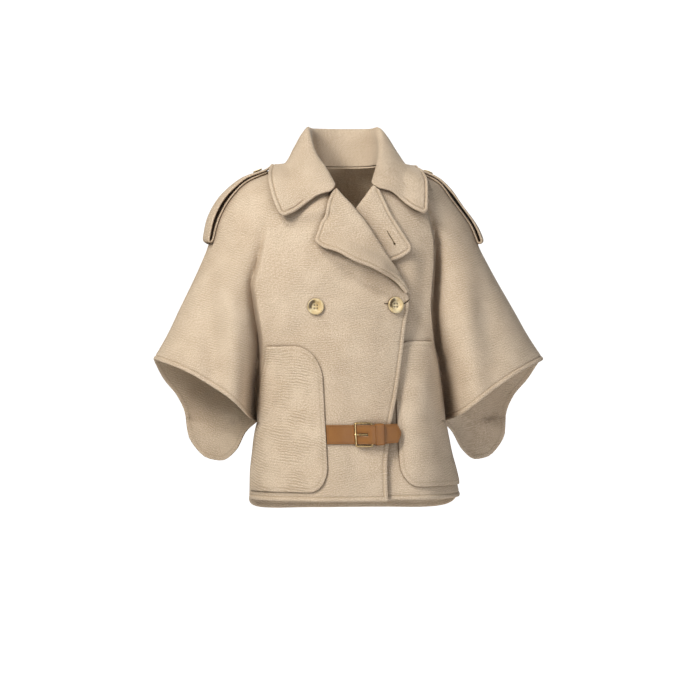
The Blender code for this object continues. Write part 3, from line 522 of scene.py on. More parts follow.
# Each lapel from the neck down: its roll line, its outer edge, and how high its underside
# stands off the front at the roll, half way and at the edge. x counts as in FRONT_EDGE.
LAPELS = {
    Side.RIGHT: table(
        "along  roll_x roll_z edge_x edge_z roll  middle edge",
        (0.00,  28.5,  -53,   34,    -57,   0.6,  0.7,   0.8),
        (0.05,  25.5,  -57,   38,    -65,   1.6,  1.6,   1.6),
        (0.12,  21,    -65,   42,    -75,   4.0,  3.0,   2.5),
        (0.22,  11,    -77,   49,    -98,   5.5,  4.0,   3.5),
        (0.32,  2.5,   -88,   58,    -124,  6.5,  5.0,   5.0),
        (0.38,  -3.5,  -96,   64,    -139,  7.0,  6.0,   6.5),
        (0.42,  -8,    -102,  65.5,  -146,  7.0,  6.5,   7.5),
        (0.46,  -12,   -107,  62,    -152,  7.5,  7.0,   8.5),
        (0.52,  -20,   -118,  50,    -160,  7.5,  9.0,   12.5),
        (0.60,  -30.5, -134,  27,    -166, 7.5, 10.5,  16.0),
        (0.70,  -45,   -157,  -2,    -179,  7.5,  11.5,  18.5),
        (0.80,  -59,   -181,  -34,   -193, 7.0, 11.0,  16.5),
        (0.88,  -72.5, -202,  -61,   -208.5, 6.5, 8.0,   10.0),
        (0.95,  -85,   -222,  -80,   -225,  5.0,  5.0,   6.0),
        (1.00,  -94,   -238,  -91,   -239.5, 3.0, 3.0,   3.0),
    ),
    Side.LEFT: table(
        "along  roll_x roll_z edge_x edge_z roll  middle edge",
        (0.00,  45,    -48,   53.5,  -55.5, 1.6,  1.8,   2.2),
        (0.10,  38,    -58,   61,    -72,   3.6,  3.0,   3.0),
        (0.20,  30.5,  -69,   71,    -95,   4.0,  3.5,   4.0),
        (0.29,  22,    -80,   86,    -121,  3.5,  3.5,   4.5),
        (0.36,  16,    -88,   100,   -144,  3.0,  3.2,   5.0),
        (0.40,  12.5,  -94,   106.5, -156,  2.6,  3.0,   5.5),
        (0.44,  7,     -101,  105,   -164,  2.2,  3.0,   5.5),
        (0.49,  1,     -110,  95,    -172,  1.8,  2.6,   4.5),
        (0.56,  -9,    -124,  76,    -181,  1.8,  2.0,   2.6),
        (0.66,  -24,   -144,  46,    -192,  1.8,  1.8,   1.8),
        (0.78,  -46,   -173,  8,     -208,  2.4,  2.4,   2.2),
        (0.90,  -71,   -206,  -44,   -222,  2.8,  2.8,   2.8),
        (1.00,  -93,   -238,  -83,   -243,  2.8,  2.8,   2.8),
    ),
}

# Sections of the collar, each over its showing face: neck seam, stand, roll, and the leaf
# down to its free edge. The two front ends differ, because the right front laps over.
COLLAR_ENDS = {
    Side.RIGHT: (
        ((35, -88, -36), (32, -92, -38), (27, -97, -40.5), (28, -105, -44.5),
         (36, -112.5, -53), (60, -112, -61.5), (98, -110, -89), (127, -100, -105)),
        ((44, -79, -20), (42, -78, -16), (40, -74, -13), (43, -80, -9),
         (56, -88, -15), (82, -94, -30), (112, -92, -50), (141, -82, -66)),
        ((58, -55, -4), (58, -46, 8), (56, -38, 20), (61, -40, 29),
         (75, -46, 22), (96, -52, 4), (120, -52, -16), (142, -46, -32)),
    ),
    Side.LEFT: (
        ((47, -84, -34), (44, -88, -36), (39, -92, -37), (41, -98, -40),
         (52, -104, -47), (76, -106, -53.5), (112, -102, -83.5), (140, -92, -99)),
        ((54, -72, -20), (51, -71, -16), (49, -67, -13), (52, -73, -9),
         (64, -82, -15), (88, -88, -29), (118, -84, -47), (147, -74, -62)),
        ((60, -52, -4), (60, -44, 8), (58, -36, 20), (63, -38, 29),
         (76, -45, 22), (97, -51, 4), (121, -51, -16), (144, -45, -32)),
    ),
}

COLLAR_SIDE = (
    # over the shoulder, and half way from there to the back
    ((60, 2, 1), (61, 1, 34), (60, 2, 58), (67, 5, 69),
     (79, 5, 57), (94, 4, 31), (109, 2, 4), (137, 0, -4)),
    ((44, 43, 1), (45, 48, 36), (45, 51, 60), (50, 56, 72),
     (61, 62, 59), (74, 68, 30), (86, 72, 2), (101, 78, -24)),
)

COLLAR_BACK = ((0, 59, 1), (0, 65, 36), (0, 69, 60), (0, 76, 73),
               (0, 86, 60), (0, 94, 30), (0, 99, -2), (0, 105, -34))

TAB = table(
    "along  z    half_width height",
    (0.00,  -14.5, 15,      12.0),
    (0.07,  -18.5, 23,      9.0),
    (0.30,  -36, 25,        10.4),
    (0.60,  -67, 28,        14.5),
    (0.85,  -112, 30,       14.0),
    (1.00,  -147, 30,       13.0),
)

STRAP = table(
    "x     height",          # middle of the leather above the front
    (-63.5, 1.9),
    (-40,  1.9),
    (-18,  2.0),
    (-12,  2.2),
    (-6,   3.9),
    (1,    7.2),
    (9,    11.2),
    (17,   12.3),
    (25,   11.6),
    (38,   9.4),
    (54,   6.8),
    (70,   4.6),
)


# Half a button's section as shares of its radius, from the dish over the rim to the back.
BUTTON = table(
    "radius height",
    (0,     0.085),
    (0.25,  0.080),
    (0.42,  0.070),
    (0.48,  0.095),
    (0.60,  0.225),
    (0.70,  0.320),
    (0.82,  0.345),
    (0.93,  0.310),
    (0.985, 0.235),
    (1.0,   0.17),
    (0.975, 0.10),
    (0.9,   0.05),
    (0.75,  0.015),
    (0.5,   0.0),
    (0,     0.0),
)


@dataclass(frozen=True)
class PocketShape:
    """Where a pocket lies: its inner edge, top, bottom and the sizes of its inner corners."""

    inner: float
    top: float
    bottom: float
    top_corner: tuple[float, float]
    low_corner: tuple[float, float]


POCKETS = {
    Side.RIGHT: PocketShape(65.0, -335.0, -599.0, (48.0, 62.0), (34.0, 50.0)),
    Side.LEFT: PocketShape(66.0, -326.0, -590.0, (30.0, 46.0), (34.0, 46.0)),
}

# Buttonholes, as places (x, z) from one end to the other in the coat's own frame.
CLOSING_HOLE = ((52.5, -258.0), (74.0, -260.0), (90.0, -258.0), (96.0, -254.5), (101.0, -250.0))
LAPEL_HOLE = ((64.7, -126.6), (69.0, -134.8), (74.2, -143.0), (79.0, -152.0))

# How deep each front wing sinks behind the body's edge, and how far the sinking runs out.
VALLEYS = {
    Side.RIGHT: table(
        "z     depth width",
        (-105, 0.0,  15),
        (-140, 7.0,  18),
        (-200, 15.0, 23),
        (-260, 21.0, 26),
        (-340, 26.0, 28),
        (-400, 21.0, 27),
        (-440, 10.0, 25),
        (-475, 0.0,  24),
    ),
    Side.LEFT: table(
        "z     depth width",
        (-35,  0.0,  15),
        (-75,  9.0,  18),
        (-110, 16.0, 26),
        (-170, 27.0, 35),
        (-260, 35.0, 42),
        (-335, 38.0, 42),
        (-400, 26.0, 36),
        (-440, 10.0, 28),
        (-475, 0.0,  24),
    ),
}

# Soft pulls across the fronts: a line from one place to another, its width and height.
PULLS = table(
    "x0    z0    x1    z1    width height",
    (-62,  -262, 66,   -266, 13,   1.0),
    (-50,  -290, 74,   -284, 16,   -1.0),
    (-30,  -214, 78,   -246, 15,   -1.6),
    (-150, -330, -96,  -262, 17,   1.4),
    (-164, -392, -112, -300, 15,   -1.8),
    (128,  -240, 96,   -300, 17,   1.6),
    (142,  -330, 108,  -396, 14,   -1.4),
    (118,  -150, 100,  -262, 16,   2.2),
    (134,  -180, 122,  -300, 12,   -2.4),
    (10,   -320, 30,   -470, 22,   0.9),
    (-30,  -160, 62,   -202, 13,   6.0),
    (-26,  -196, 66,   -236, 15,   -6.5),
    (-92,  -98,  -34,  -84,  10,   3.5),
    (-96,  -118, -34,  -104, 12,   -4.0),
    (-120, -200, -60,  -226, 13,   1.3),
    (-200, -300, -236, -360, 11,   1.6),
    (-20,  -520, 60,   -520, 16,   -0.8),
    (-130, -470, -60,  -520, 16,   0.8),
)

# Unevenness of worn cloth: the height of its dents, and the width and length of each.
UNEVEN = ((1.5, 62, 95), (0.55, 24, 38))


@dataclass(frozen=True)
class CapeForm:
    """The form of the cape on its wearer: how deep its faces stand at any place.

    Heights and places are in millimetres in the coat's own upright frame.
    """

    underarm_z: float = -475.0
    tip_z: float = -359.0
    hem_z: float = -620.0
    # Below the chest the coat hangs a little towards the wearer's left.
    hip_sway: float = 23.0
    sway_top_z: float = -150.0
    # The wearer's left shoulder slopes more: the cloth lies closer to it there.
    shoulder_x: float = 200.0
    shoulder_z: float = -54.0
    shoulder_reach: float = 50.0
    shoulder_slack: float = 14.0
    # How far each panel stands off the seam between front and back, and half the gap there.
    seam_stand: float = 3.6
    half_seam_gap: float = 0.15
    # How far the under front lies inside the upper one, at two heights.
    lap_drops: tuple[float, float] = (14.0, 8.0)
    lap_heights: tuple[float, float] = (-440.0, -560.0)
    lap_run: float = 55.0
    # The valley in front beside the body: its steep wall, and the two runs that fill it up.
    valley_wall: float = 5.5
    valley_lip: float = 1.5
    valley_floor: float = 9.0
    valley_shares: tuple[float, float] = (0.42, 0.58)
    valley_power: float = 1.3
    crease_run: tuple[float, float] = (34.0, 52.0)
    crease_power: float = 1.25
    crease_limit: float = 0.62
    # Folds and dents fade out over these lengths, so that seams and edges stay straight.
    fold_fade_seam: float = 45.0
    fold_fade_middle: tuple[float, float] = (12.0, 25.0)
    fold_fade_side: float = 40.0
    dent_fade_edge: float = 50.0
    dent_fade_top: tuple[float, float] = (-15.0, 60.0)

    def place(self, points: Array) -> Array:
        """Moves points from the coat's own frame, in millimetres, to the part's, in metres.

        Args:
            points: places in the coat's own frame.

        Returns:
            The places in the part's frame.
        """
        points = np.array(points, float)
        outward = np.clip(points[..., 0] / self.shoulder_x, 0, None) ** 3
        near = hump(points[..., 2], self.shoulder_z, self.shoulder_reach)
        points[..., 0] -= self.shoulder_slack * outward * near
        down = (self.sway_top_z - points[..., 2]) / (self.sway_top_z - self.hem_z)
        points[..., 0] += self.hip_sway * np.clip(down, 0.0, 1.1)
        return points * MM

    def half_width(self, z: Array | float) -> Array:
        """Half width of the cape at its shoulder seam."""
        return read(CAPE, "half_width", z)

    def middle_depth(self, face: Face, z: Array | float) -> Array:
        """Depth of a face in the middle of the coat."""
        return read(CAPE, "front_depth" if face == Face.FRONT else "back_depth", z)

    def round_depth(self, face: Face, x: Array, z: Array) -> Array:
        """Depth of the cape's plain oval section, with no crease and no folds."""
        return self.middle_depth(face, z) * np.sqrt(np.clip(1 - (x / self.half_width(z)) ** 2, 0, 1))

    def crease(self, face: Face, side: Side, z: Array) -> tuple[Array, Array]:
        """Finds the crease between body and wing.

        Args:
            face: front or back.
            side: the wearer's side.
            z: heights.

        Returns:
            Its distance from the middle, and the panel's depth in it.
        """
        low = self.underarm_z
        above = np.maximum(z, low)
        hip = read(HIPS, side.name.lower(), np.minimum(z, low))
        x = np.where(z > low, read(CREASE[side], "x", above), hip)
        closed = np.where(z > low, read(CREASE[side], "closed", above), 1.0)
        x = np.minimum(x, self.crease_limit * self.half_width(z))
        return x, np.maximum((1 - closed) * self.round_depth(face, x, z), self.seam_stand)

    def body_oval(self, face: Face, side: Side, z: Array) -> tuple[Array, Array]:
        """Half width and squareness of the body's own oval, which runs into the crease.

        Args:
            face: front or back.
            side: the wearer's side.
            z: heights.

        Returns:
            The oval's half width and its squareness.
        """
        x, depth = self.crease(face, side, z)
        square = read(HIPS, "squareness", z)
        full = self.middle_depth(face, z)
        return x / (1 - np.clip(depth / full, 0, 0.98) ** square) ** (1 / square), square

    def folds(self, face: Face, side: Side, x: Array, z: Array) -> Array:
        """Height that the main folds add to a panel, x from the middle outwards.

        Args:
            face: front or back.
            side: the wearer's side.
            x: places from the middle outwards.
            z: heights.

        Returns:
            The height at each place.
        """
        height = np.zeros(np.broadcast(x, z).shape)
        for on_face, on_side, x_top, x_low, top, low, wide, tall in zip(*FOLDS.values()):
            if on_face == face and on_side == side:
                down = (top - z) / (top - low)
                width = wide * (1 + 0.5 * np.clip(down, 0, 1))
                height += tall * ease(down / 0.5) * hump(x, x_top + (x_low - x_top) * down, width)
        return height

    def pulls(self, face: Face, x: Array, z: Array) -> Array:
        """Height that small pulls and the cloth's own dents add, x towards the left.

        Args:
            face: front or back.
            x: places from the middle, towards the wearer's left.
            z: heights.

        Returns:
            The height at each place.
        """
        seed = 11 if face == Face.FRONT else 12
        height = sum(tall * soft_noise(x / wide, z / long, seed + 5 * step)
                     for step, (tall, wide, long) in enumerate(UNEVEN))
        if face == Face.BACK:
            return height
        for x_start, z_start, x_end, z_end, width, tall in zip(*PULLS.values()):
            run_x, run_z = x_end - x_start, z_end - z_start
            length = float(np.hypot(run_x, run_z))
            along = ((x - x_start) * run_x + (z - z_start) * run_z) / length ** 2
            off = ((x - x_start) * run_z - (z - z_start) * run_x) / length
            height += tall * (ease(0.5 + 2 * along) * ease(0.5 + 2 * (1 - along))) * hump(off, 0, width)
        return height

    def side_depth(self, face: Face, side: Side, x: Array, z: Array) -> Array:
        """Depth of a panel on one side of the middle, x from the middle outwards.

        Args:
            face: front or back.
            side: the wearer's side.
            x: places from the middle outwards.
            z: heights.

        Returns:
            The depth at each place.
        """
        crease_x, crease_depth = self.crease(face, side, z)
        oval, square = self.body_oval(face, side, z)
        body = self.middle_depth(face, z) * (1 - np.clip(x / oval, 0, 1) ** square) ** (1 / square)
        sunk = self.round_depth(face, crease_x, z) - crease_depth
        run = np.clip((x - crease_x) / self.crease_run[face == Face.BACK], 0, None)
        wing = self.round_depth(face, x, z) - sunk * np.exp(-run ** self.crease_power)
        start, reach = self.fold_fade_middle
        fade = ease((self.half_width(z) - x) / self.fold_fade_seam) * ease((x - start) / reach)
        fade = fade * np.where(z < self.underarm_z, ease((crease_x - x) / self.fold_fade_side), 1.0)
        depth = np.where(x <= crease_x, body, wing) + self.folds(face, side, x, z) * fade
        if face == Face.FRONT:
            off = x - crease_x - self.valley_wall
            beyond = np.clip(off, 0, None)
            floor, slope = (share * np.exp(-(beyond / width) ** self.valley_power) for share, width
                            in zip(self.valley_shares, (self.valley_floor, read(VALLEYS[side], "width", z))))
            sunk = np.where(off < 0, ease(1 + off / (self.valley_wall + self.valley_lip)), floor + slope)
            depth = depth - read(VALLEYS[side], "depth", z) * sunk
        return depth

    def depth(self, face: Face, x: Array, z: Array) -> Array:
        """Depth of the showing face of a panel at any place, x towards the wearer's left.

        Args:
            face: front or back.
            x: places from the middle, towards the wearer's left.
            z: heights.

        Returns:
            The depth at each place.
        """
        x, z = np.broadcast_arrays(np.asarray(x, float), np.asarray(z, float))
        left = self.side_depth(face, Side.LEFT, np.abs(x), z)
        right = self.side_depth(face, Side.RIGHT, np.abs(x), z)
        hip = np.where(x > 0, read(HIPS, "left", z), read(HIPS, "right", z))
        edge = np.where(z < self.underarm_z, hip, self.half_width(z))
        top, reach = self.dent_fade_top
        fade = ease((edge - np.abs(x)) / self.dent_fade_edge) * ease((top - z) / reach)
        return np.maximum(np.where(x > 0, left, right) + self.pulls(face, x, z) * fade,
                          self.half_seam_gap)

    def lap_drop(self, x: Array, z: Array) -> Array:
        """How far the under front lies inside the upper one.

        Args:
            x: places from the middle, towards the wearer's left.
            z: heights.

        Returns:
            The drop at each place.
        """
        edge = -read(FRONT_EDGE[Side.RIGHT], "x", z)
        below = ease((self.lap_heights[0] - z) / (self.lap_heights[0] - self.lap_heights[1]))
        drop = self.lap_drops[0] + (self.lap_drops[1] - self.lap_drops[0]) * below
        return drop * (1 - ease((x - edge - 2) / self.lap_run))

    def front_point(self, x: Array, z: Array, lift: Array | float = 0.0, under: bool = False) -> Array:
        """Points on the front, moved straight out of it.

        Args:
            x: places from the middle, towards the wearer's left.
            z: heights.
            lift: how far out of the cloth.
            under: whether they are on the under front, where the two lap.

        Returns:
            The points.
        """
        x, z = np.broadcast_arrays(np.asarray(x, float), np.asarray(z, float))

        def out(px: Array, pz: Array) -> Array:
            """Depth at a place."""
            return self.depth(Face.FRONT, px, pz) - (self.lap_drop(px, pz) if under else 0.0)

        reach = 1.5
        slope_x = (out(x + reach, z) - out(x - reach, z)) / (2 * reach)
        slope_z = (out(x, z + reach) - out(x, z - reach)) / (2 * reach)
        normal = unit(np.stack([-slope_x, -np.ones_like(slope_x), -slope_z], axis=-1))
        return np.stack([x, -out(x, z), z], axis=-1) + normal * np.asarray(lift, float)[..., None]

    def panel_points(self, face: Face, side: Side, x: Array, z: Array) -> Array:
        """Points of a panel; x counts outwards from the middle on the panel's own side.

        Args:
            face: front or back.
            side: the wearer's side.
            x: places from the middle outwards.
            z: heights.

        Returns:
            The points.
        """
        across = side * x
        out = self.depth(face, across, z)
        if face == Face.FRONT and side == Side.LEFT:
            out = np.maximum(out - self.lap_drop(across, z), self.half_seam_gap)
        return np.stack([across, face * out, z], axis=-1)

    def split_place(self, face: Face, side: Side, start: float, z: float) -> float:
        """Where a row passes from body to wing: the crease, or past the neck near the top.

        Args:
            face: front or back.
            side: the wearer's side.
            start: the row's first place, from the middle outwards.
            z: the row's height.

        Returns:
            The place, from the middle outwards.
        """
        crease_x, _ = self.crease(face, side, z)
        wide = start + 0.3 * (self.half_width(z) - start)
        return float(np.maximum(crease_x, wide) if z > -30 else crease_x)

    def body_columns(self, face: Face, side: Side, start: float, z: float, count: int,
                     reach: float = 1.0) -> Array:
        """Places across the body from a starting place to the crease, closer where it turns.

        Args:
            face: front or back.
            side: the wearer's side.
            start: the first place, from the middle outwards.
            z: height of the row.
            count: number of steps.
            reach: share of the turn to the crease that is covered.

        Returns:
            The places, from the middle outwards.
        """
        oval, square = self.body_oval(face, side, z)

        def turned(x: float) -> float:
            """Turn round the oval at a place."""
            return float(np.sign(x) * np.arcsin(np.clip(abs(x) / oval, 0, 1) ** (square / 2)))

        first, last = turned(start), turned(self.split_place(face, side, start, z)) * reach
        turn = np.linspace(first, last, count + 1)
        return oval * np.sign(turn) * np.abs(np.sin(turn)) ** (2 / square)

    def wing_row(self, face: Face, side: Side, start: float, z: float, count: int) -> tuple[Array, Array]:
        """Places and heights of one row of a wing, from the crease to the shoulder seam.

        Args:
            face: front or back.
            side: the wearer's side.
            start: the row's first place, from the middle outwards.
            z: height of the row at the crease.
            count: number of steps.

        Returns:
            The places, from the middle outwards, and their heights.
        """
        down = z / self.underarm_z
        seam_z = z + (self.tip_z - self.underarm_z) * down ** 2
        hem = FRONT_WING_HEM if face == Face.FRONT else BACK_WING_HEM

        def plain(row_z: float, row_seam_z: float, row_crease: float) -> tuple[Array, Array]:
            """A row on the plain oval.

            Args:
                row_z: height of the row at the crease.
                row_seam_z: its height at the seam.
                row_crease: the crease's place.

            Returns:
                The places and heights.
            """
            edge = self.half_width(row_seam_z)
            first = math.asin(min(float(row_crease / edge), 1))
            x = edge * np.sin(np.linspace(first, math.pi / 2, count + 1))
            return x, row_z + (row_seam_z - row_z) * (x - row_crease) / (edge - row_crease)

        x, height = plain(z, seam_z, self.split_place(face, side, start, z))
        last_crease = float(self.crease(face, side, self.underarm_z)[0])
        last_x, last_z = plain(self.underarm_z, self.tip_z, last_crease)
        along = np.linspace(0, 1, count + 1)
        hem_x = read(hem, "x", along, key="along") + (last_crease - hem["x"][0]) * (1 - along) ** 3
        blend = ease((down - 0.35) / 0.65) ** 1.5
        hem_z = read(hem, "z", along, key="along")
        return x + blend * (hem_x - last_x), height + blend * (hem_z - last_z)

    def hem_height(self, face: Face, side: Side, turn: Array) -> Array:
        """Height of the hem, where turn runs from 0 in the middle to 1 at the side seam."""
        middle_z = HEM_FRONT_Z[side] if face == Face.FRONT else HEM_BACK_Z
        return middle_z + (HEM_SIDE_Z[side] - middle_z) * np.clip(turn, 0, 1) ** 4

    def oval_gap(self, points: Array) -> tuple[Array, Array]:
        """Distance of points outside the plain oval, and the direction straight out of it.

        Args:
            points: points in the coat's own frame.

        Returns:
            The distances and the directions.
        """

        def level(p: Array) -> Array:
            """Zero on the oval, and more outside.

            Args:
                p: the points.

            Returns:
                The level of each point.
            """
            depth = np.where(p[..., 1] < 0, self.middle_depth(Face.FRONT, p[..., 2]),
                             self.middle_depth(Face.BACK, p[..., 2]))
            return np.hypot(p[..., 0] / self.half_width(p[..., 2]), p[..., 1] / depth) - 1

        slope = np.stack([level(points + step) - level(points - step)
                          for step in np.eye(3) * 0.5], axis=-1)
        size = np.linalg.norm(slope, axis=-1, keepdims=True)
        return level(points) / size[..., 0], slope / size

    def kept_off(self, points: Array, clearance: float) -> Array:
        """Points moved out until they stand clear of the shoulders.

        Args:
            points: points in the coat's own frame.
            clearance: how far they have to stand off.

        Returns:
            The points.
        """
        points = np.array(points, float)
        for _ in range(4):
            gap, out = self.oval_gap(points)
            short = np.clip(clearance - gap, 0, None) * (points[..., 2] < -0.5)
            points += out * short[..., None]
        return points


# ---------------------------------------------------------------- cloth as thin shells


@dataclass(frozen=True)
class Cloth:
    """One thickness of cloth, and how its free edges are turned and stitched."""

    thickness: float = 3.0
    stitch_in: float = 8.0
    puff: float = 0.8
    groove: float = 0.8
    groove_width: float = 1.3
    # Past the stitching the cloth swells once more, by a share of the puff.
    swell: float = 0.3
    swell_in: float = 4.0
    swell_width: float = 2.6

    def edge_round(self, gap: Array) -> Array:
        """How far each face is drawn in at a distance from a free edge."""
        half = self.thickness / 2
        return np.minimum(half * (1 - np.sqrt(1 - (1 - np.clip(gap / half, 0, 1)) ** 2)), half - 0.1)

    def relief(self, gap: Array) -> Array:
        """Height of the border over the cloth: a soft roll, then the stitched groove.

        Args:
            gap: distances from a free edge.

        Returns:
            The height at each distance.
        """
        roll = self.puff * np.sin(math.pi * np.clip(gap / self.stitch_in, 0, 1)) ** 0.7
        beyond = self.swell * self.puff * hump(gap - self.stitch_in, self.swell_in, self.swell_width)
        return roll + beyond - self.groove * self.stitched(gap)

    def stitched(self, gap: Array) -> Array:
        """How near a place is to the topstitching, from 0 to 1 on it."""
        return hump(gap, self.stitch_in, self.groove_width)


# Distances from an edge at which a shell has its points: a turned edge, a seam, the crease
# between body and wing, and a fine edge.
EDGE_STEPS = (0, 0.35, 0.9, 1.8, 3.0, 4.2, 5.4, 6.2, 7.0, 7.8, 8.6, 9.8, 11.4, 13.6)
SEAM_STEPS = (0, 1.2, 3.2)
CREASE_STEPS = (0, 1.2, 2.4, 3.6, 5.0, 6.6, 8.6, 11.0, 14.0)
FINE_EDGE_STEPS = (0, 0.3, 0.7, 1.3)
LEATHER_STEPS = (0, 0.25, 0.6, 1.1, 1.8)


def keep_front(points: Array) -> Array:
    """Keeps points on the front's side of the shoulder seam."""
    points[..., 1] = np.minimum(points[..., 1], -CapeForm.half_seam_gap)
    return points


def keep_back(points: Array) -> Array:
    """Keeps points on the back's side of the shoulder seam."""
    points[..., 1] = np.maximum(points[..., 1], CapeForm.half_seam_gap)
    return points


def free_edges(grid: Array, rows: Sequence[int] = (), columns: Sequence[int] = ()) -> Array:
    """Marks the points of whole rows and columns of a grid as free edges.

    Args:
        grid: rows of points.
        rows: numbers of the free rows.
        columns: numbers of the free columns.

    Returns:
        A mark for each point.
    """
    free = np.zeros(grid.shape[:2], bool)
    free[list(rows)] = True
    free[:, list(columns)] = True
    return free


@dataclass
class Stitches:
    """Lines that a thread follows: points, the ways out of the cloth there, and edges."""

    points: list
    outs: list
    edges: list


class Shell:
    """A cloth or leather piece as a closed thin shell from a grid on its showing face."""

    def __init__(self, name: str, form: CapeForm, grid: Array, cloth: Cloth, free: Array,
                 present: Array | None = None, zone: Array | None = None, flip: bool = False,
                 limit: Callable[[Array], Array] | None = None, relief: Array | float = 1.0) -> None:
        """Takes what the piece is made from.

        Args:
            name: the piece's name.
            form: places its points in the part's frame.
            grid: points on its showing face, in millimetres.
            cloth: its thickness and its edges.
            free: which points lie on free edges.
            present: which cells hold cloth, or all of them.
            zone: parts of the piece that take no notice of each other's edges.
            flip: whether the grid runs the other way round.
            limit: keeps points on their own side of a seam.
            relief: how strongly the border's roll and groove show.
        """
        self.name, self.form, self.grid, self.cloth = name, form, grid, cloth
        self.free, self.flip, self.limit, self.relief = free, flip, limit, relief
        rows, cols = grid.shape[:2]
        self.number = np.arange(rows * cols).reshape(rows, cols)
        self.present = np.ones((rows - 1, cols - 1), bool) if present is None else present
        self.zone = np.zeros((rows, cols), int) if zone is None else zone
        self.normal = grid_normals(grid, self.present) * (-1 if flip else 1)
        self.border = self.find_border()
        self.gap = self.find_gap()
        self.outer, self.inner = self.faces()

    def find_border(self) -> Array:
        """Finds the border's edges, as pairs of point numbers in the outer face's winding.

        Returns:
            The pairs.
        """
        number, cells = self.number, np.pad(self.present, 1)
        here = cells[1:-1, 1:-1]
        sides = (
            (number[:-1, :-1], number[:-1, 1:], cells[:-2, 1:-1]),
            (number[:-1, 1:], number[1:, 1:], cells[1:-1, 2:]),
            (number[1:, 1:], number[1:, :-1], cells[2:, 1:-1]),
            (number[1:, :-1], number[:-1, :-1], cells[1:-1, :-2]),
        )
        pairs = np.concatenate([np.stack([start[here & ~beside], end[here & ~beside]], axis=-1)
                                for start, end, beside in sides])
        return pairs if self.flip else pairs[:, ::-1]

    def find_gap(self) -> Array:
        """Distance of each point from the nearest free edge of its zone.

        Returns:
            The distances, in the grid's rows.
        """
        points = self.grid.reshape(-1, 3)
        free, zone = self.free.ravel(), self.zone.ravel()
        edges = self.border[free[self.border].all(axis=1)]
        edge_zone = zone[edges].min(axis=1) if len(edges) else np.zeros(0, int)
        gap = np.full(len(points), 1e3)
        for part in np.unique(edge_zone):
            mine, mark = zone == part, edge_zone == part
            gap[mine] = segment_distance(points[mine], points[edges[mark, 0]], points[edges[mark, 1]])
        return gap.reshape(self.grid.shape[:2])

    def faces(self) -> tuple[Array, Array]:
        """Works out the points of the outer and the inner face.

        Returns:
            The outer points and the inner ones.
        """
        drawn = self.cloth.edge_round(self.gap)
        height = self.cloth.relief(self.gap) * self.relief
        seam = np.zeros(self.grid.shape[0] * self.grid.shape[1])
        seam[self.border.ravel()] = 0.5
        seam = np.where(self.gap > 0.2, seam.reshape(self.gap.shape), 0.0)
        outer = self.grid + self.normal * (height - drawn - seam)[..., None]
        inner = self.grid - self.normal * (self.cloth.thickness + 0.3 * height - drawn)[..., None]
        if self.limit is not None:
            outer, inner = self.limit(outer), self.limit(inner)
        return outer, inner

    def build(self, material: bpy.types.Material) -> bpy.types.Object:
        """Makes the piece's mesh, with its flat layout and the places of its grooves.

        Args:
            material: its finish.

        Returns:
            The piece.
        """
        number, shift = self.number, self.number.size
        quads = np.stack([number[:-1, :-1], number[:-1, 1:], number[1:, 1:], number[1:, :-1]],
                         axis=-1)[self.present]
        if not self.flip:
            quads = quads[:, ::-1]
        sides = np.stack([self.border[:, 1], self.border[:, 0],
                          self.border[:, 0] + shift, self.border[:, 1] + shift], axis=-1)
        faces = np.concatenate([quads, quads[:, ::-1] + shift, sides])
        points = np.concatenate([self.outer.reshape(-1, 3), self.inner.reshape(-1, 3)])
        used, faces = np.unique(faces, return_inverse=True)
        faces = faces.reshape(-1, 4)
        mesh = bpy.data.meshes.new(self.name)
        mesh.from_pydata(self.form.place(points[used]).tolist(), [], faces.tolist())
        flat = np.stack([run_along(self.grid, 1), -run_along(self.grid, 0)], axis=-1) * MM
        flat = np.tile(flat.reshape(-1, 2), (2, 1))[used]
        mesh.uv_layers.new(name=UV_NAME).data.foreach_set("uv", flat[faces.ravel()].ravel())
        mark_groove(mesh, np.tile((self.cloth.stitched(self.gap) * self.relief).ravel(), 2)[used])
        return new_piece(mesh, material)

    def stitch_line(self, keep: Array | bool = True) -> Stitches:
        """Follows the topstitching over the outer face.

        Args:
            keep: which cells may carry it, or all of them.

        Returns:
            The line, in millimetres.
        """
        value = self.gap - self.cloth.stitch_in
        whole = self.present & keep & (self.zone[:-1, :-1] == self.zone[1:, 1:]) \
            & (self.zone[:-1, 1:] == self.zone[1:, :-1])
        corners = np.stack([value[:-1, :-1], value[:-1, 1:], value[1:, 1:], value[1:, :-1]])
        crossed = whole & (corners.min(axis=0) < 0) & (corners.max(axis=0) > 0)
        places: dict[tuple, int] = {}
        line = Stitches([], [], [])
        for r, c in zip(*np.nonzero(crossed)):
            loop = ((r, c), (r, c + 1), (r + 1, c + 1), (r + 1, c))
            cuts = []
            for a, b in zip(loop, loop[1:] + loop[:1]):
                if (value[a] < 0) != (value[b] < 0):
                    key = (min(a, b), max(a, b))
                    if key not in places:
                        share = value[a] / (value[a] - value[b])
                        places[key] = len(line.points)
                        line.points.append(self.outer[a] + (self.outer[b] - self.outer[a]) * share)
                        line.outs.append(self.normal[a])
                    cuts.append(places[key])
            line.edges.extend(zip(cuts[0::2], cuts[1::2]))
        return line

    def nearest(self, flat: Array) -> tuple[Array, Array]:
        """Finds the places on the outer face behind points of the front view.

        Args:
            flat: (x, z) of each point, in the coat's own frame.

        Returns:
            The points and the ways out of the cloth there.
        """
        facing = (self.normal[..., 1] < -0.2).ravel()
        outer, normal = self.outer.reshape(-1, 3)[facing], self.normal.reshape(-1, 3)[facing]
        points, outs = [], []
        for spot in flat:
            away = ((outer[:, [0, 2]] - spot) ** 2).sum(-1)
            near = np.argsort(away)[:5]
            weight = 1 / (away[near] + 0.3)
            weight /= weight.sum()
            points.append((spot[0], float((outer[near, 1] * weight).sum()), spot[1]))
            outs.append(unit((normal[near] * weight[:, None]).sum(axis=0)))
        return np.array(points), np.array(outs)


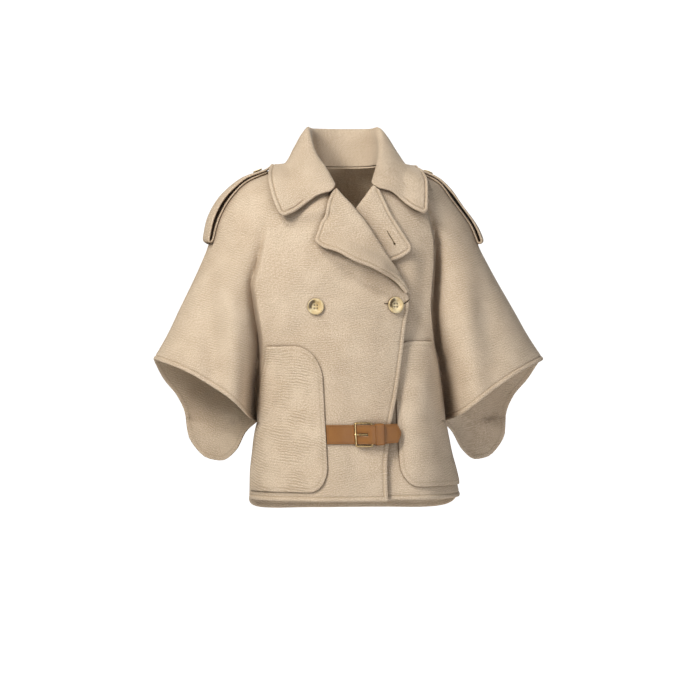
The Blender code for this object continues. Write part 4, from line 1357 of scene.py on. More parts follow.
def mark_groove(mesh: bpy.types.Mesh, values: Array) -> None:
    """Writes on each point of a mesh how much of its finish's dark mark it shows."""
    mesh.attributes.new(GROOVE_NAME, "FLOAT", "POINT").data.foreach_set("value", values)


def hang(name: str, data: object) -> bpy.types.Object:
    """Puts new data in the scene as an object.

    Args:
        name: the object's name.
        data: the mesh, curve, lamp or camera in it.

    Returns:
        The object.
    """
    made = bpy.data.objects.new(name, data)
    bpy.context.scene.collection.objects.link(made)
    return made


def as_mesh(carrier: bpy.types.Object, name: str, *spent: bpy.types.Object) -> bpy.types.Mesh:
    """Turns an object with its modifiers into a plain mesh, and removes what it was made from.

    Args:
        carrier: the object.
        name: the new mesh's name.
        *spent: other objects that only the modifiers use.

    Returns:
        The mesh.
    """
    graph = bpy.context.evaluated_depsgraph_get()
    mesh = bpy.data.meshes.new_from_object(carrier.evaluated_get(graph))
    mesh.name = name
    for part in (carrier, *spent):
        bpy.data.objects.remove(part, do_unlink=True)
    return mesh


def new_piece(mesh: bpy.types.Mesh, material: bpy.types.Material, sharp: float = 50.0) -> bpy.types.Object:
    """Puts a mesh in the scene as a piece, shaded smooth up to a sharp edge's angle in degrees.

    Args:
        mesh: the piece's mesh, which gives it its name.
        material: its finish.
        sharp: angle of a sharp edge, in degrees.

    Returns:
        The piece.
    """
    mesh.materials.clear()
    mesh.materials.append(material)
    mesh.shade_smooth()
    mesh.set_sharp_from_angle(angle=math.radians(sharp))
    return hang(mesh.name, mesh)


def worn(piece: bpy.types.Object, slot: Slot, *nodes: str) -> bpy.types.Object:
    """Makes a piece ride on the coat and stand for the nodes that it replaces.

    Args:
        piece: the piece.
        slot: not used.
        *nodes: CAD nodes that it stands for.

    Returns:
        The same piece.
    """
    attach(piece, BODY)
    if nodes:
        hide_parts(*nodes)
    mesh = piece.data
    mesh.calc_loop_triangles()
    log.info("%s: %d triangles", piece.name, len(mesh.loop_triangles))
    return piece


def feed(tree: bpy.types.NodeTree, node: bpy.types.Node, links: dict) -> None:
    """Puts an output socket or a plain value into inputs of a node, by their name or number.

    Args:
        tree: the node's tree.
        node: the node.
        links: what goes into each input.
    """
    for key, value in links.items():
        socket = node.inputs[key]
        if isinstance(value, bpy.types.NodeSocket):
            tree.links.new(value, socket)
        else:
            socket.default_value = value


def add_node(tree: bpy.types.NodeTree, kind: str, settings: dict | None = None,
             links: dict | None = None, out: str | int | None = None) -> object:
    """Adds a node, with its settings and what goes into its sockets.

    Args:
        tree: the tree it goes into.
        kind: Blender's name for it.
        settings: values of its own properties.
        links: an output socket or a plain value for each input, by name or number.
        out: name or number of the output that is wanted, if it is one.

    Returns:
        That output, or the node.
    """
    node = tree.nodes.new(kind)
    for key, value in (settings or {}).items():
        setattr(node, key, value)
    feed(tree, node, links or {})
    return node if out is None else node.outputs[out]


@dataclass(frozen=True)
class Topstitch:
    """Thread sewn along a line: its pitch, the length and width of a stitch, in millimetres."""

    pitch: float = 4.4
    length: float = 3.3
    width: float = 0.75
    height: float = 0.7
    seed: int = 5

    def tree(self) -> bpy.types.NodeTree:
        """Makes the node tree that lays one stitch after another along a line.

        Returns:
            The tree.
        """
        tree = bpy.data.node_groups.new("topstitch", "GeometryNodeTree")
        for name, kind in (("Line", "Geometry"), ("Pitch", "Float"), ("Length", "Float"),
                           ("Width", "Float"), ("Height", "Float"), ("Seed", "Int"),
                           ("Thread", "Material")):
            tree.interface.new_socket(name=name, in_out="INPUT", socket_type=f"NodeSocket{kind}")
        tree.interface.new_socket(name="Stitches", in_out="OUTPUT", socket_type="NodeSocketGeometry")
        given = add_node(tree, "NodeGroupInput").outputs
        spots = add_node(tree, "GeometryNodeCurveToPoints", {"mode": "LENGTH"}, {
            "Curve": add_node(tree, "GeometryNodeMeshToCurve", links={"Mesh": given["Line"]}, out="Curve"),
            "Length": given["Pitch"]})
        ball = add_node(tree, "GeometryNodeMeshUVSphere",
                        links={"Segments": 6, "Rings": 4, "Radius": 0.5}, out="Mesh")
        size = add_node(tree, "ShaderNodeCombineXYZ", out="Vector",
                        links={"X": given["Length"], "Y": given["Width"], "Z": given["Height"]})
        stitch = add_node(tree, "GeometryNodeTransform", links={"Geometry": ball, "Scale": size},
                          out="Geometry")
        away = add_node(tree, "GeometryNodeInputNamedAttribute", {"data_type": "FLOAT_VECTOR"},
                        {"Name": "out"}, "Attribute")
        upright = add_node(tree, "FunctionNodeAlignRotationToVector", {"axis": "Z"}, {"Vector": away},
                           "Rotation")
        along = add_node(tree, "FunctionNodeAlignRotationToVector", {"axis": "X", "pivot_axis": "Z"},
                         {"Rotation": upright, "Vector": spots.outputs["Tangent"]}, "Rotation")
        # Hand tension differs: each stitch is a little longer, wider or higher than the next.
        uneven = add_node(tree, "FunctionNodeRandomValue", {"data_type": "FLOAT_VECTOR"},
                          {0: (0.86, 0.9, 0.85), 1: (1.08, 1.1, 1.1), "Seed": given["Seed"]}, 0)
        laid = add_node(tree, "GeometryNodeInstanceOnPoints", links={
            "Points": spots.outputs["Points"], "Instance": stitch, "Rotation": along,
            "Scale": uneven}, out="Instances")
        real = add_node(tree, "GeometryNodeRealizeInstances", links={"Geometry": laid}, out="Geometry")
        dressed = add_node(tree, "GeometryNodeSetMaterial",
                           links={"Geometry": real, "Material": given["Thread"]}, out="Geometry")
        add_node(tree, "NodeGroupOutput", links={"Stitches": dressed})
        return tree

    def sew(self, name: str, form: CapeForm, line: Stitches, thread: bpy.types.Material,
            slot: Slot) -> bpy.types.Object:
        """Sews a line and turns the stitches into a plain mesh.

        Args:
            name: the new piece's name.
            form: places the line in the part's frame.
            line: where the thread runs.
            thread: its finish.
            slot: its material slot.

        Returns:
            The stitches as one piece.
        """
        mesh = bpy.data.meshes.new(f"{name}_line")
        mesh.from_pydata(form.place(np.array(line.points)).tolist(), line.edges, [])
        outs = np.array(line.outs, float)
        mesh.attributes.new("out", "FLOAT_VECTOR", "POINT").data.foreach_set("vector", outs.ravel())
        carrier = hang(f"{name}_line", mesh)
        modifier = carrier.modifiers.new("topstitch", "NODES")
        modifier.node_group = bpy.data.node_groups.get("topstitch") or self.tree()
        values = {"Pitch": self.pitch * MM, "Length": self.length * MM, "Width": self.width * MM,
                  "Height": self.height * MM, "Seed": self.seed, "Thread": thread}
        for item in modifier.node_group.interface.items_tree:
            if item.in_out == "INPUT" and item.name in values:
                modifier[item.identifier] = values[item.name]
        return worn(new_piece(as_mesh(carrier, name), thread), slot)


# ---------------------------------------------------------------- the coat's pieces


@dataclass(frozen=True)
class Dress:
    """The finishes that the coat's pieces take."""

    wool: bpy.types.Material
    waved_wool: bpy.types.Material
    thread: bpy.types.Material
    slit: bpy.types.Material
    leather: bpy.types.Material
    leather_thread: bpy.types.Material
    horn: bpy.types.Material
    brass: bpy.types.Material


def finish_cloth(shell: Shell, node: str, dress: Dress,
                 rests_on: Sequence[str], keep: Array | bool | None = True,
                 stitch: Topstitch = Topstitch(), wool: bpy.types.Material | None = None) -> None:
    """Args:
        shell: the cloth.
        node: the CAD node that it stands for.
        dress: the coat's finishes.
        rests_on: not used.
        keep: which cells may carry the topstitching, or None where there is none.
        stitch: how it is sewn.
        wool: its finish, if not the coat's common one.
    """
    piece = worn(shell.build(wool or dress.wool), Slot.WOOL, node)
    if keep is not None:
        stitch.sew(f"{node}_topstitch", shell.form, shell.stitch_line(keep), dress.thread,
                               Slot.WOOL)


@dataclass
class CapePanels:
    """Two fronts and the back, each cut in one with its half wings."""

    form: CapeForm
    cloth: Cloth = Cloth(thickness=3.0)
    upper_rows: int = 74
    lower_rows: int = 20
    body_columns: int = 48
    wing_columns: int = 34
    # Points of the fine grids, from which those above are taken.
    fine: int = 120
    fine_wing: int = 100
    fine_rows: int = 150
    fine_low_rows: int = 46
    cut_front: tuple[float, float] = (0.50, 0.70)
    cut_back: tuple[float, float] = (1.02, 0.70)
    # Rows lie closer together towards the neck, where the fronts start a little lower.
    row_power: float = 1.55
    front_top_z: float = -1.2
    # The fronts' hem starts past the middle, where they lap.
    lap_turn: float = -0.35
    # Above this height the fronts' edges lie under the lapels and are not turned.
    relief_top_z: float = -236.0
    relief_run: float = 14.0
    sewn_below: float = 8.0

    def side(self, face: Face, side: Side) -> tuple[Array, int, int]:
        """Makes the points of a panel on one side of the middle.

        Args:
            face: front or back.
            side: the wearer's side.

        Returns:
            The grid, the crease's column and the underarm's row.
        """
        form, fine = self.form, self.fine
        top, first_turn = (self.front_top_z, self.lap_turn) if face == Face.FRONT else (0.0, 0.0)
        heights = top + (form.underarm_z - top) * np.linspace(0, 1, self.fine_rows) ** self.row_power
        body_rows, wing_rows = [], []

        def start(z: float) -> float:
            """Place of the row's first point."""
            return float(read(FRONT_EDGE[side], "x", z)) if face == Face.FRONT else 0.0

        for z in heights:
            x = form.body_columns(face, side, start(z), z, fine)
            body_rows.append(form.panel_points(face, side, x, np.full(fine + 1, z)))
            wing_x, wing_z = form.wing_row(face, side, start(z), z, self.fine_wing)
            wing_rows.append(form.panel_points(face, side, wing_x, wing_z))
        low_rows = [body_rows[-1]]
        for share in np.linspace(0, 1, self.fine_low_rows)[1:]:
            flat = form.underarm_z + (form.hem_z - form.underarm_z) * share
            turn = np.linspace(first_turn, 1, fine + 1)
            height = form.underarm_z + (form.hem_height(face, side, turn) - form.underarm_z) * share
            x = form.body_columns(face, side, start(flat), flat, fine)
            x *= form.crease(face, side, height)[0] / form.crease(face, side, flat)[0]
            points = form.panel_points(face, side, x, height)
            points[-1, 1] = face * form.half_seam_gap
            low_rows.append(points)
        lead = EDGE_STEPS if face == Face.FRONT else (0,)
        across = (lead, self.body_columns, CREASE_STEPS)
        body, low = spread_out(np.array(body_rows), *across), spread_out(np.array(low_rows), *across)
        wing = spread_out(np.array(wing_rows), CREASE_STEPS, self.wing_columns, SEAM_STEPS)
        upper = np.concatenate([body, wing[:, 1:]], axis=1).swapaxes(0, 1)
        upper = spread_out(upper, SEAM_STEPS, self.upper_rows, EDGE_STEPS).swapaxes(0, 1)
        low = spread_out(low.swapaxes(0, 1), (0,), self.lower_rows, EDGE_STEPS).swapaxes(0, 1)
        crease, underarm = body.shape[1] - 1, upper.shape[0] - 1
        grid = np.zeros((upper.shape[0] + low.shape[0] - 1, upper.shape[1], 3))
        grid[:underarm + 1] = upper
        grid[underarm + 1:, :crease + 1] = low[1:]
        grid[underarm + 1:, crease + 1:] = low[1:, -1:]
        return grid, crease, underarm

    def marks(self, grid: Array, crease: int, underarm: int, number: int) -> tuple[Array, Array, Array]:
        """Marks the cells with cloth, the free edges and the zones on one side of the middle.

        Args:
            grid: the points of that side.
            crease: the crease's column.
            underarm: the underarm's row.
            number: the wing's zone.

        Returns:
            The marks of cells, and the marks and zones of points.
        """
        present = np.ones((grid.shape[0] - 1, grid.shape[1] - 1), bool)
        present[underarm:, crease:] = False
        free = np.zeros(grid.shape[:2], bool)
        free[-1, :crease + 1] = True
        free[underarm, crease:] = True
        zone = np.zeros(grid.shape[:2], int)
        zone[:underarm + 1, crease:] = number
        return present, free, zone

    def front(self, side: Side, dress: Dress) -> Shell:
        """Makes a front.

        Args:
            side: the wearer's side.
            dress: the coat's finishes.

        Returns:
            Its shell.
        """
        node = side.of("front")
        grid, crease, underarm = self.side(Face.FRONT, side)
        present, free, zone = self.marks(grid, crease, underarm, 1)
        free[:, 0] = True
        relief = ease((self.relief_top_z - grid[..., 2]) / self.relief_run)
        shell = Shell(f"{node}_cloth", self.form, grid, self.cloth, free, present, zone,
                      side == Side.RIGHT, keep_front, relief)
        keep = grid[:-1, :-1, 2] < self.relief_top_z - self.sewn_below
        finish_cloth(shell, node, dress, (), keep)
        return shell

    def back(self, dress: Dress) -> None:
        """Makes the back with both its half wings.

        Args:
            dress: the coat's finishes.
        """
        parts = []
        for side, number in ((Side.RIGHT, 1), (Side.LEFT, 2)):
            grid, crease, underarm = self.side(Face.BACK, side)
            parts.append((grid, *self.marks(grid, crease, underarm, number)))
        # The halves share the points of the middle column, but no cells.
        grid, present, free, zone = (
            np.concatenate([right[:, ::-1] if cells else right[:, :0:-1], left], axis=1)
            for right, left, cells in zip(*parts, (False, True, False, False)))
        shell = Shell("back_cloth", self.form, grid, self.cloth, free, present, zone, True, keep_back)
        finish_cloth(shell, "back", dress, ())

    def build(self, dress: Dress) -> dict[Side, Shell]:
        """Makes all three panels.

        Args:
            dress: the coat's finishes.

        Returns:
            The fronts' shells.
        """
        shells = {side: self.front(side, dress) for side in Side}
        self.back(dress)
        return shells


@dataclass
class Lapels:
    """The fronts' turned lapels, from inside their roll to their outer edge."""

    form: CapeForm
    cloth: Cloth = Cloth(thickness=4.5, stitch_in=7.0, puff=0.8)
    cut: tuple[float, float] = (0.16, 0.26)
    # The roll runs from inside the front round to the top, in degrees.
    start_turn: float = 62.0
    end_turn: float = 165.0
    roll_gap: float = 0.6
    lay_gap: float = 0.9
    dent: float = 0.5
    dent_size: float = 26.0
    dent_seed: int = 31
    # Points of the fine grid: along the lapel, round its roll and across what lies flat.
    fine_along: int = 150
    fine_roll: int = 24
    fine_flat: int = 50
    # Rows near the lapel's ends, hidden under the collar and at the tip, carry no stitches.
    unsewn_top: int = 3
    unsewn_tip: int = 6

    def grid(self, side: Side) -> Array:
        """Makes the points on the showing face of a lapel.

        Args:
            side: the wearer's side.

        Returns:
            The points.
        """
        along = np.linspace(0, 1, self.fine_along)
        column = {name: read(LAPELS[side], name, along, key="along") for name in LAPELS[side]}
        roll = np.stack([column["roll_x"], column["roll_z"]], axis=-1)
        span = np.stack([column["edge_x"], column["edge_z"]], axis=-1) - roll
        away = unit(span)
        thickness = self.cloth.thickness
        radius = (column["roll"] + 2 * thickness) / 2
        centre = radius - thickness + self.roll_gap
        columns = [(roll - away * (radius * math.sin(turn))[:, None], centre - radius * math.cos(turn))
                   for turn in np.radians(np.linspace(self.start_turn, self.end_turn, self.fine_roll))]
        for share in np.linspace(0.03, 1, self.fine_flat):
            height = (column["roll"] * (1 - share) ** 2 + column["middle"] * 2 * share * (1 - share)
                      + column["edge"] * share ** 2)
            columns.append((roll + span * share, height + thickness + self.lay_gap))
        flat, lift = (np.stack(part, axis=1) for part in zip(*columns))
        lift = lift + self.dent * soft_noise(flat[..., 0] / self.dent_size,
                                             flat[..., 1] / self.dent_size, self.dent_seed)
        grid = self.form.front_point(side * flat[..., 0], flat[..., 1], lift, under=side == Side.LEFT)
        return spread_both(grid, (SEAM_STEPS, 40, EDGE_STEPS), (SEAM_STEPS, 100, FINE_EDGE_STEPS))

    def build(self, dress: Dress) -> dict[Side, Shell]:
        """Makes both lapels.

        Args:
            dress: the coat's finishes.

        Returns:
            The shell of each side's piece.
        """
        shells = {}
        for side in Side:
            node, grid = side.of("lapel"), self.grid(side)
            shells[side] = shell = Shell(f"{node}_cloth", self.form, grid, self.cloth,
                                         free_edges(grid, columns=(-1,)), flip=side == Side.RIGHT)
            keep = np.zeros(shell.present.shape, bool)
            keep[self.unsewn_top:-self.unsewn_tip] = True
            finish_cloth(shell, node, dress, [side.of("front") + "_cloth"], keep)
        return shells


@dataclass
class Collar:
    """The large collar, whose stand and leaf are cut in one."""

    form: CapeForm
    cloth: Cloth = Cloth(thickness=4.5, stitch_in=7.4, puff=1.2, groove=1.1)
    cut: tuple[float, float] = (0.78, 0.19)
    corner: float = 13.0
    # The leaf, as shares of the collar's width: where it clears the shoulders, where its
    # turned edge starts to show, and where its front corners begin to lift.
    clear_from: float = 0.42
    leaf_clearance: float = 6.2
    leaf_start: float = 0.56
    lift_from: float = 0.62
    edge_lift: float = 14.0
    # The lift grows from this share of the way between the back's middle and an end.
    end_from: float = 0.27
    fade: float = 0.12
    # Points of the fine grid, across the collar and along it.
    fine_across: int = 100
    fine_along: int = 320

    def grid(self) -> Array:
        """Makes the points on the showing face, from the right end to the left one.

        Returns:
            The points.
        """
        right = [np.array(section, float) * (Side.RIGHT, 1, 1)
                 for section in COLLAR_ENDS[Side.RIGHT] + COLLAR_SIDE]
        left = [np.array(section, float) for section in COLLAR_ENDS[Side.LEFT] + COLLAR_SIDE]
        stations = np.array(right + [np.array(COLLAR_BACK, float)] + left[::-1])
        across, along = np.linspace(0, 1, self.fine_across), np.linspace(0, 1, self.fine_along)
        sections = np.array([strung(section, across) for section in stations])
        grid = np.stack([strung(sections[:, c], along) for c in range(len(across))], axis=1)
        leaf = across > self.clear_from
        grid[:, leaf] = self.form.kept_off(grid[:, leaf], self.leaf_clearance)
        ends = ease((np.abs(along - 0.5) - self.end_from) / self.fade)[:, None]
        ends = ends * ease((across - self.lift_from) / (1 - self.lift_from))[None]
        grid[..., 1] -= self.edge_lift * ends
        grid = spread_both(grid, (SEAM_STEPS, 46, EDGE_STEPS), (EDGE_STEPS, 150, EDGE_STEPS))
        for end in (0, -1):
            grid = rounded_corner(grid, end, -1, self.corner)
        return grid

    def build(self, dress: Dress) -> None:
        """Makes the collar.

        Args:
            dress: the coat's finishes.
        """
        grid = self.grid()
        across = run_along(grid, 1)
        relief = ease((across / across[:, -1:] - self.leaf_start) / self.fade)
        shell = Shell("collar_cloth", self.form, grid, self.cloth,
                      free_edges(grid, (0, -1), (-1,)), relief=relief)
        finish_cloth(shell, "collar", dress,
                     ["front_right_cloth", "front_left_cloth", "back_cloth"], relief[1:, 1:] > 0.9)


@dataclass
class PatchPockets:
    """The two large patch pockets, sewn on down their sides and along the bottom."""

    form: CapeForm
    cloth: Cloth = Cloth(thickness=3.0, puff=0.0, groove=0.0)
    cut: tuple[float, float] = (0.17, 0.29)
    # Share of the turn to the crease that a pocket covers.
    reach: float = 0.93
    # How far it stands off the front: inside and at its sewn edges, and the run between.
    lift: float = 2.6
    sewn_lift: float = 0.6
    pressed_run: float = 7.0
    top_slack: float = 1.5
    # Dents of worn cloth and the soft belly of a used pocket, which fade towards its seams.
    dent: float = 1.1
    dent_size: tuple[float, float] = (34.0, 30.0)
    dent_seed: int = 41
    dent_fade: float = 40.0
    belly: float = 1.6
    belly_place: float = 0.62
    belly_width: float = 0.3
    belly_fade: float = 60.0
    # Points of the fine grid, down the pocket and across it.
    fine_down: int = 170
    fine_across: int = 120

    def grid(self, side: Side) -> Array:
        """Makes the points on the showing face, from the top row down.

        Args:
            side: the wearer's side.

        Returns:
            The points.
        """
        form, shape = self.form, POCKETS[side]
        heights = np.linspace(shape.top, shape.bottom, self.fine_down)
        x = np.array([form.body_columns(Face.FRONT, side, shape.inner, z, self.fine_across, self.reach)
                      for z in heights])
        u, v = x - shape.inner, shape.top - np.repeat(heights[:, None], x.shape[1], axis=1)
        du, dv = quarter_oval(u, v, *shape.top_corner)
        u, w = u + du, shape.top - (v + dv) - shape.bottom
        du, dw = quarter_oval(u, w, *shape.low_corner)
        grid = form.panel_points(Face.FRONT, side, shape.inner + (u + du), shape.bottom + (w + dw))
        grid = spread_both(grid, (EDGE_STEPS, 34, EDGE_STEPS), (EDGE_STEPS, 72, EDGE_STEPS))
        from_inner, from_top = run_along(grid, 1), run_along(grid, 0)
        sewn = np.minimum(np.minimum(from_inner, from_inner[:, -1:] - from_inner),
                          from_top[-1:] - from_top)
        pressed = 1 - np.exp(-np.minimum(sewn, from_top + self.top_slack) / self.pressed_run)
        lift = self.sewn_lift + (self.lift - self.sewn_lift) * pressed
        wide, long = self.dent_size
        dents = soft_noise(grid[..., 0] / wide, grid[..., 2] / long, self.dent_seed)
        lift = lift + self.dent * ease(sewn / self.dent_fade) * dents
        belly = hump(from_top / from_top[-1:], self.belly_place, self.belly_width)
        lift = lift + self.belly * belly * ease(sewn / self.belly_fade)
        return grid + side * grid_normals(grid) * (lift + self.cloth.thickness)[..., None]

    def build(self, dress: Dress) -> None:
        """Makes both pockets.

        Args:
            dress: the coat's finishes.
        """
        for side in Side:
            node, grid = side.of("pocket"), self.grid(side)
            shell = Shell(f"{node}_cloth", self.form, grid, self.cloth,
                          free_edges(grid, (0, -1), (0, -1)), flip=side == Side.RIGHT)
            finish_cloth(shell, node, dress, [side.of("front") + "_cloth"], keep=None,
                         wool=dress.waved_wool if side == Side.RIGHT else dress.wool)


@dataclass
class ShoulderTabs:
    """The shoulder tabs, each a long strip folded back on itself."""

    form: CapeForm
    cloth: Cloth = Cloth(thickness=3.4, stitch_in=5.8, puff=0.6, groove=0.7)
    cut: tuple[float, float] = (0.062, 0.42)
    length: float = 190.0
    # The lower layer's height, and where it starts and folds back, as shares of the length.
    base: float = 1.0
    start: float = 0.03
    fold: float = 0.965
    fold_turn: float = 65.0
    # The top layer waves a little along its length and lies straight at both its ends.
    wave: float = 0.7
    wave_turn: float = 11.0
    wave_fade: float = 0.2
    reach_down: float = 70.0
    low_corner: float = 8.0
    top_corner: float = 12.0

    def point(self, side: Side, along: Array, across: Array, lift: Array) -> Array:
        """Points above the shoulder seam.

        Args:
            side: the wearer's side.
            along: how far along the tab, from 0 at the neck to 1.
            across: how far to the front (minus) or back.
            lift: how far above the cape.

        Returns:
            The points.
        """
        form = self.form
        along, across, lift = np.broadcast_arrays(along, across, lift)
        seam_z = read(TAB, "z", along, key="along")
        seam_x = form.half_width(seam_z)
        run = unit(np.stack([form.half_width(seam_z - 1) - form.half_width(seam_z + 1),
                             np.full_like(seam_z, -2.0)], axis=-1))
        # Each point is sought on the cape straight across from its place on the seam.
        low, high = seam_z - self.reach_down, seam_z + 0.0
        for _ in range(24):
            middle = (low + high) / 2
            section = np.where(across < 0, form.middle_depth(Face.FRONT, middle),
                               form.middle_depth(Face.BACK, middle))
            x = form.half_width(middle) * np.sqrt(np.clip(1 - (across / section) ** 2, 0, 1))
            beyond = (x - seam_x) * run[..., 0] + (middle - seam_z) * run[..., 1]
            low, high = np.where(beyond > 0, middle, low), np.where(beyond > 0, high, middle)
        point = np.stack([x, across + 0 * x, middle], axis=-1)
        out = form.oval_gap(point)[1]
        return (point + out * lift[..., None]) * (side, 1, 1)

    def grid(self, side: Side) -> tuple[Array, Array]:
        """Makes the points of a tab's outside: along under itself, round its fold and back on top.

        Args:
            side: the wearer's side.

        Returns:
            The points and their zones.
        """
        radius = (float(read(TAB, "height", 1.0, key="along")) - self.base) / 2
        under = np.linspace(self.start, self.fold, 90)
        turn = np.radians(np.linspace(-self.fold_turn, self.fold_turn, 26))
        over = np.linspace(self.fold, 0.0, 100)
        top = read(TAB, "height", over, key="along")
        wave = ease(over / self.wave_fade) * ease((1 - over) / self.wave_fade)
        top = top + self.wave * np.sin(over * self.wave_turn + side) * wave
        along = np.concatenate([under, self.fold + radius * np.cos(turn) / self.length, over])
        lift = np.concatenate([np.full(len(under), self.base),
                               self.base + radius + radius * np.sin(turn), top])
        half = read(TAB, "half_width", along, key="along")
        across = half[:, None] * np.linspace(-1, 1, 30)[None]
        grid = self.point(side, along[:, None], across, lift[:, None])
        # Each layer is a zone of its own, so that one's edge leaves no mark on the other.
        zone = np.repeat((0, 1), (len(under) + len(turn) // 2, len(over) + len(turn) // 2))
        new = spread_both(grid, (EDGE_STEPS[:-1], 6, EDGE_STEPS[:-1]), (EDGE_STEPS, 150, EDGE_STEPS))
        for row in (0, -1):
            for column in (0, -1):
                new = rounded_corner(new, row, column, self.top_corner if row else self.low_corner)
        middle = grid[:, grid.shape[1] // 2]
        nearest = np.linalg.norm(new[:, new.shape[1] // 2, None] - middle[None], axis=-1).argmin(axis=1)
        return new, np.repeat(zone[nearest][:, None], new.shape[1], axis=1)

    def build(self, dress: Dress) -> None:
        """Makes both tabs.

        Args:
            dress: the coat's finishes.
        """
        for side in Side:
            node = side.of("epaulette")
            grid, zone = self.grid(side)
            shell = Shell(f"{node}_cloth", self.form, grid, self.cloth,
                          free_edges(grid, (0, -1), (0, -1)), zone=zone, flip=side == Side.LEFT)
            finish_cloth(shell, node, dress, ["back_cloth"],
                         stitch=Topstitch(length=3.0))


def turned_mesh(name: str, profile: Array, segments: int) -> bpy.types.Mesh:
    """Turns a profile of (radius, height) points round the Z axis into a closed mesh.

    Args:
        name: the mesh's name.
        profile: points from the axis on top, round the rim, to the axis below.
        segments: number of sides.

    Returns:
        The mesh, in the profile's own units.
    """
    angle = np.linspace(0, 2 * math.pi, segments, endpoint=False)
    points = [(0.0, 0.0, profile[0][1])]
    for radius, height in profile[1:-1]:
        points += [(radius * math.cos(a), radius * math.sin(a), height) for a in angle]
    points.append((0.0, 0.0, profile[-1][1]))
    last, end = 1 + (len(profile) - 3) * segments, len(points) - 1
    sides = [(i, (i + 1) % segments) for i in range(segments)]
    faces = [(0, 1 + i, 1 + j) for i, j in sides]
    for low in range(1, last, segments):
        faces += [(low + i, low + segments + i, low + segments + j, low + j) for i, j in sides]
    faces += [(last + i, end, last + j) for i, j in sides]
    mesh = bpy.data.meshes.new(name)
    mesh.from_pydata(points, [], faces)
    return mesh


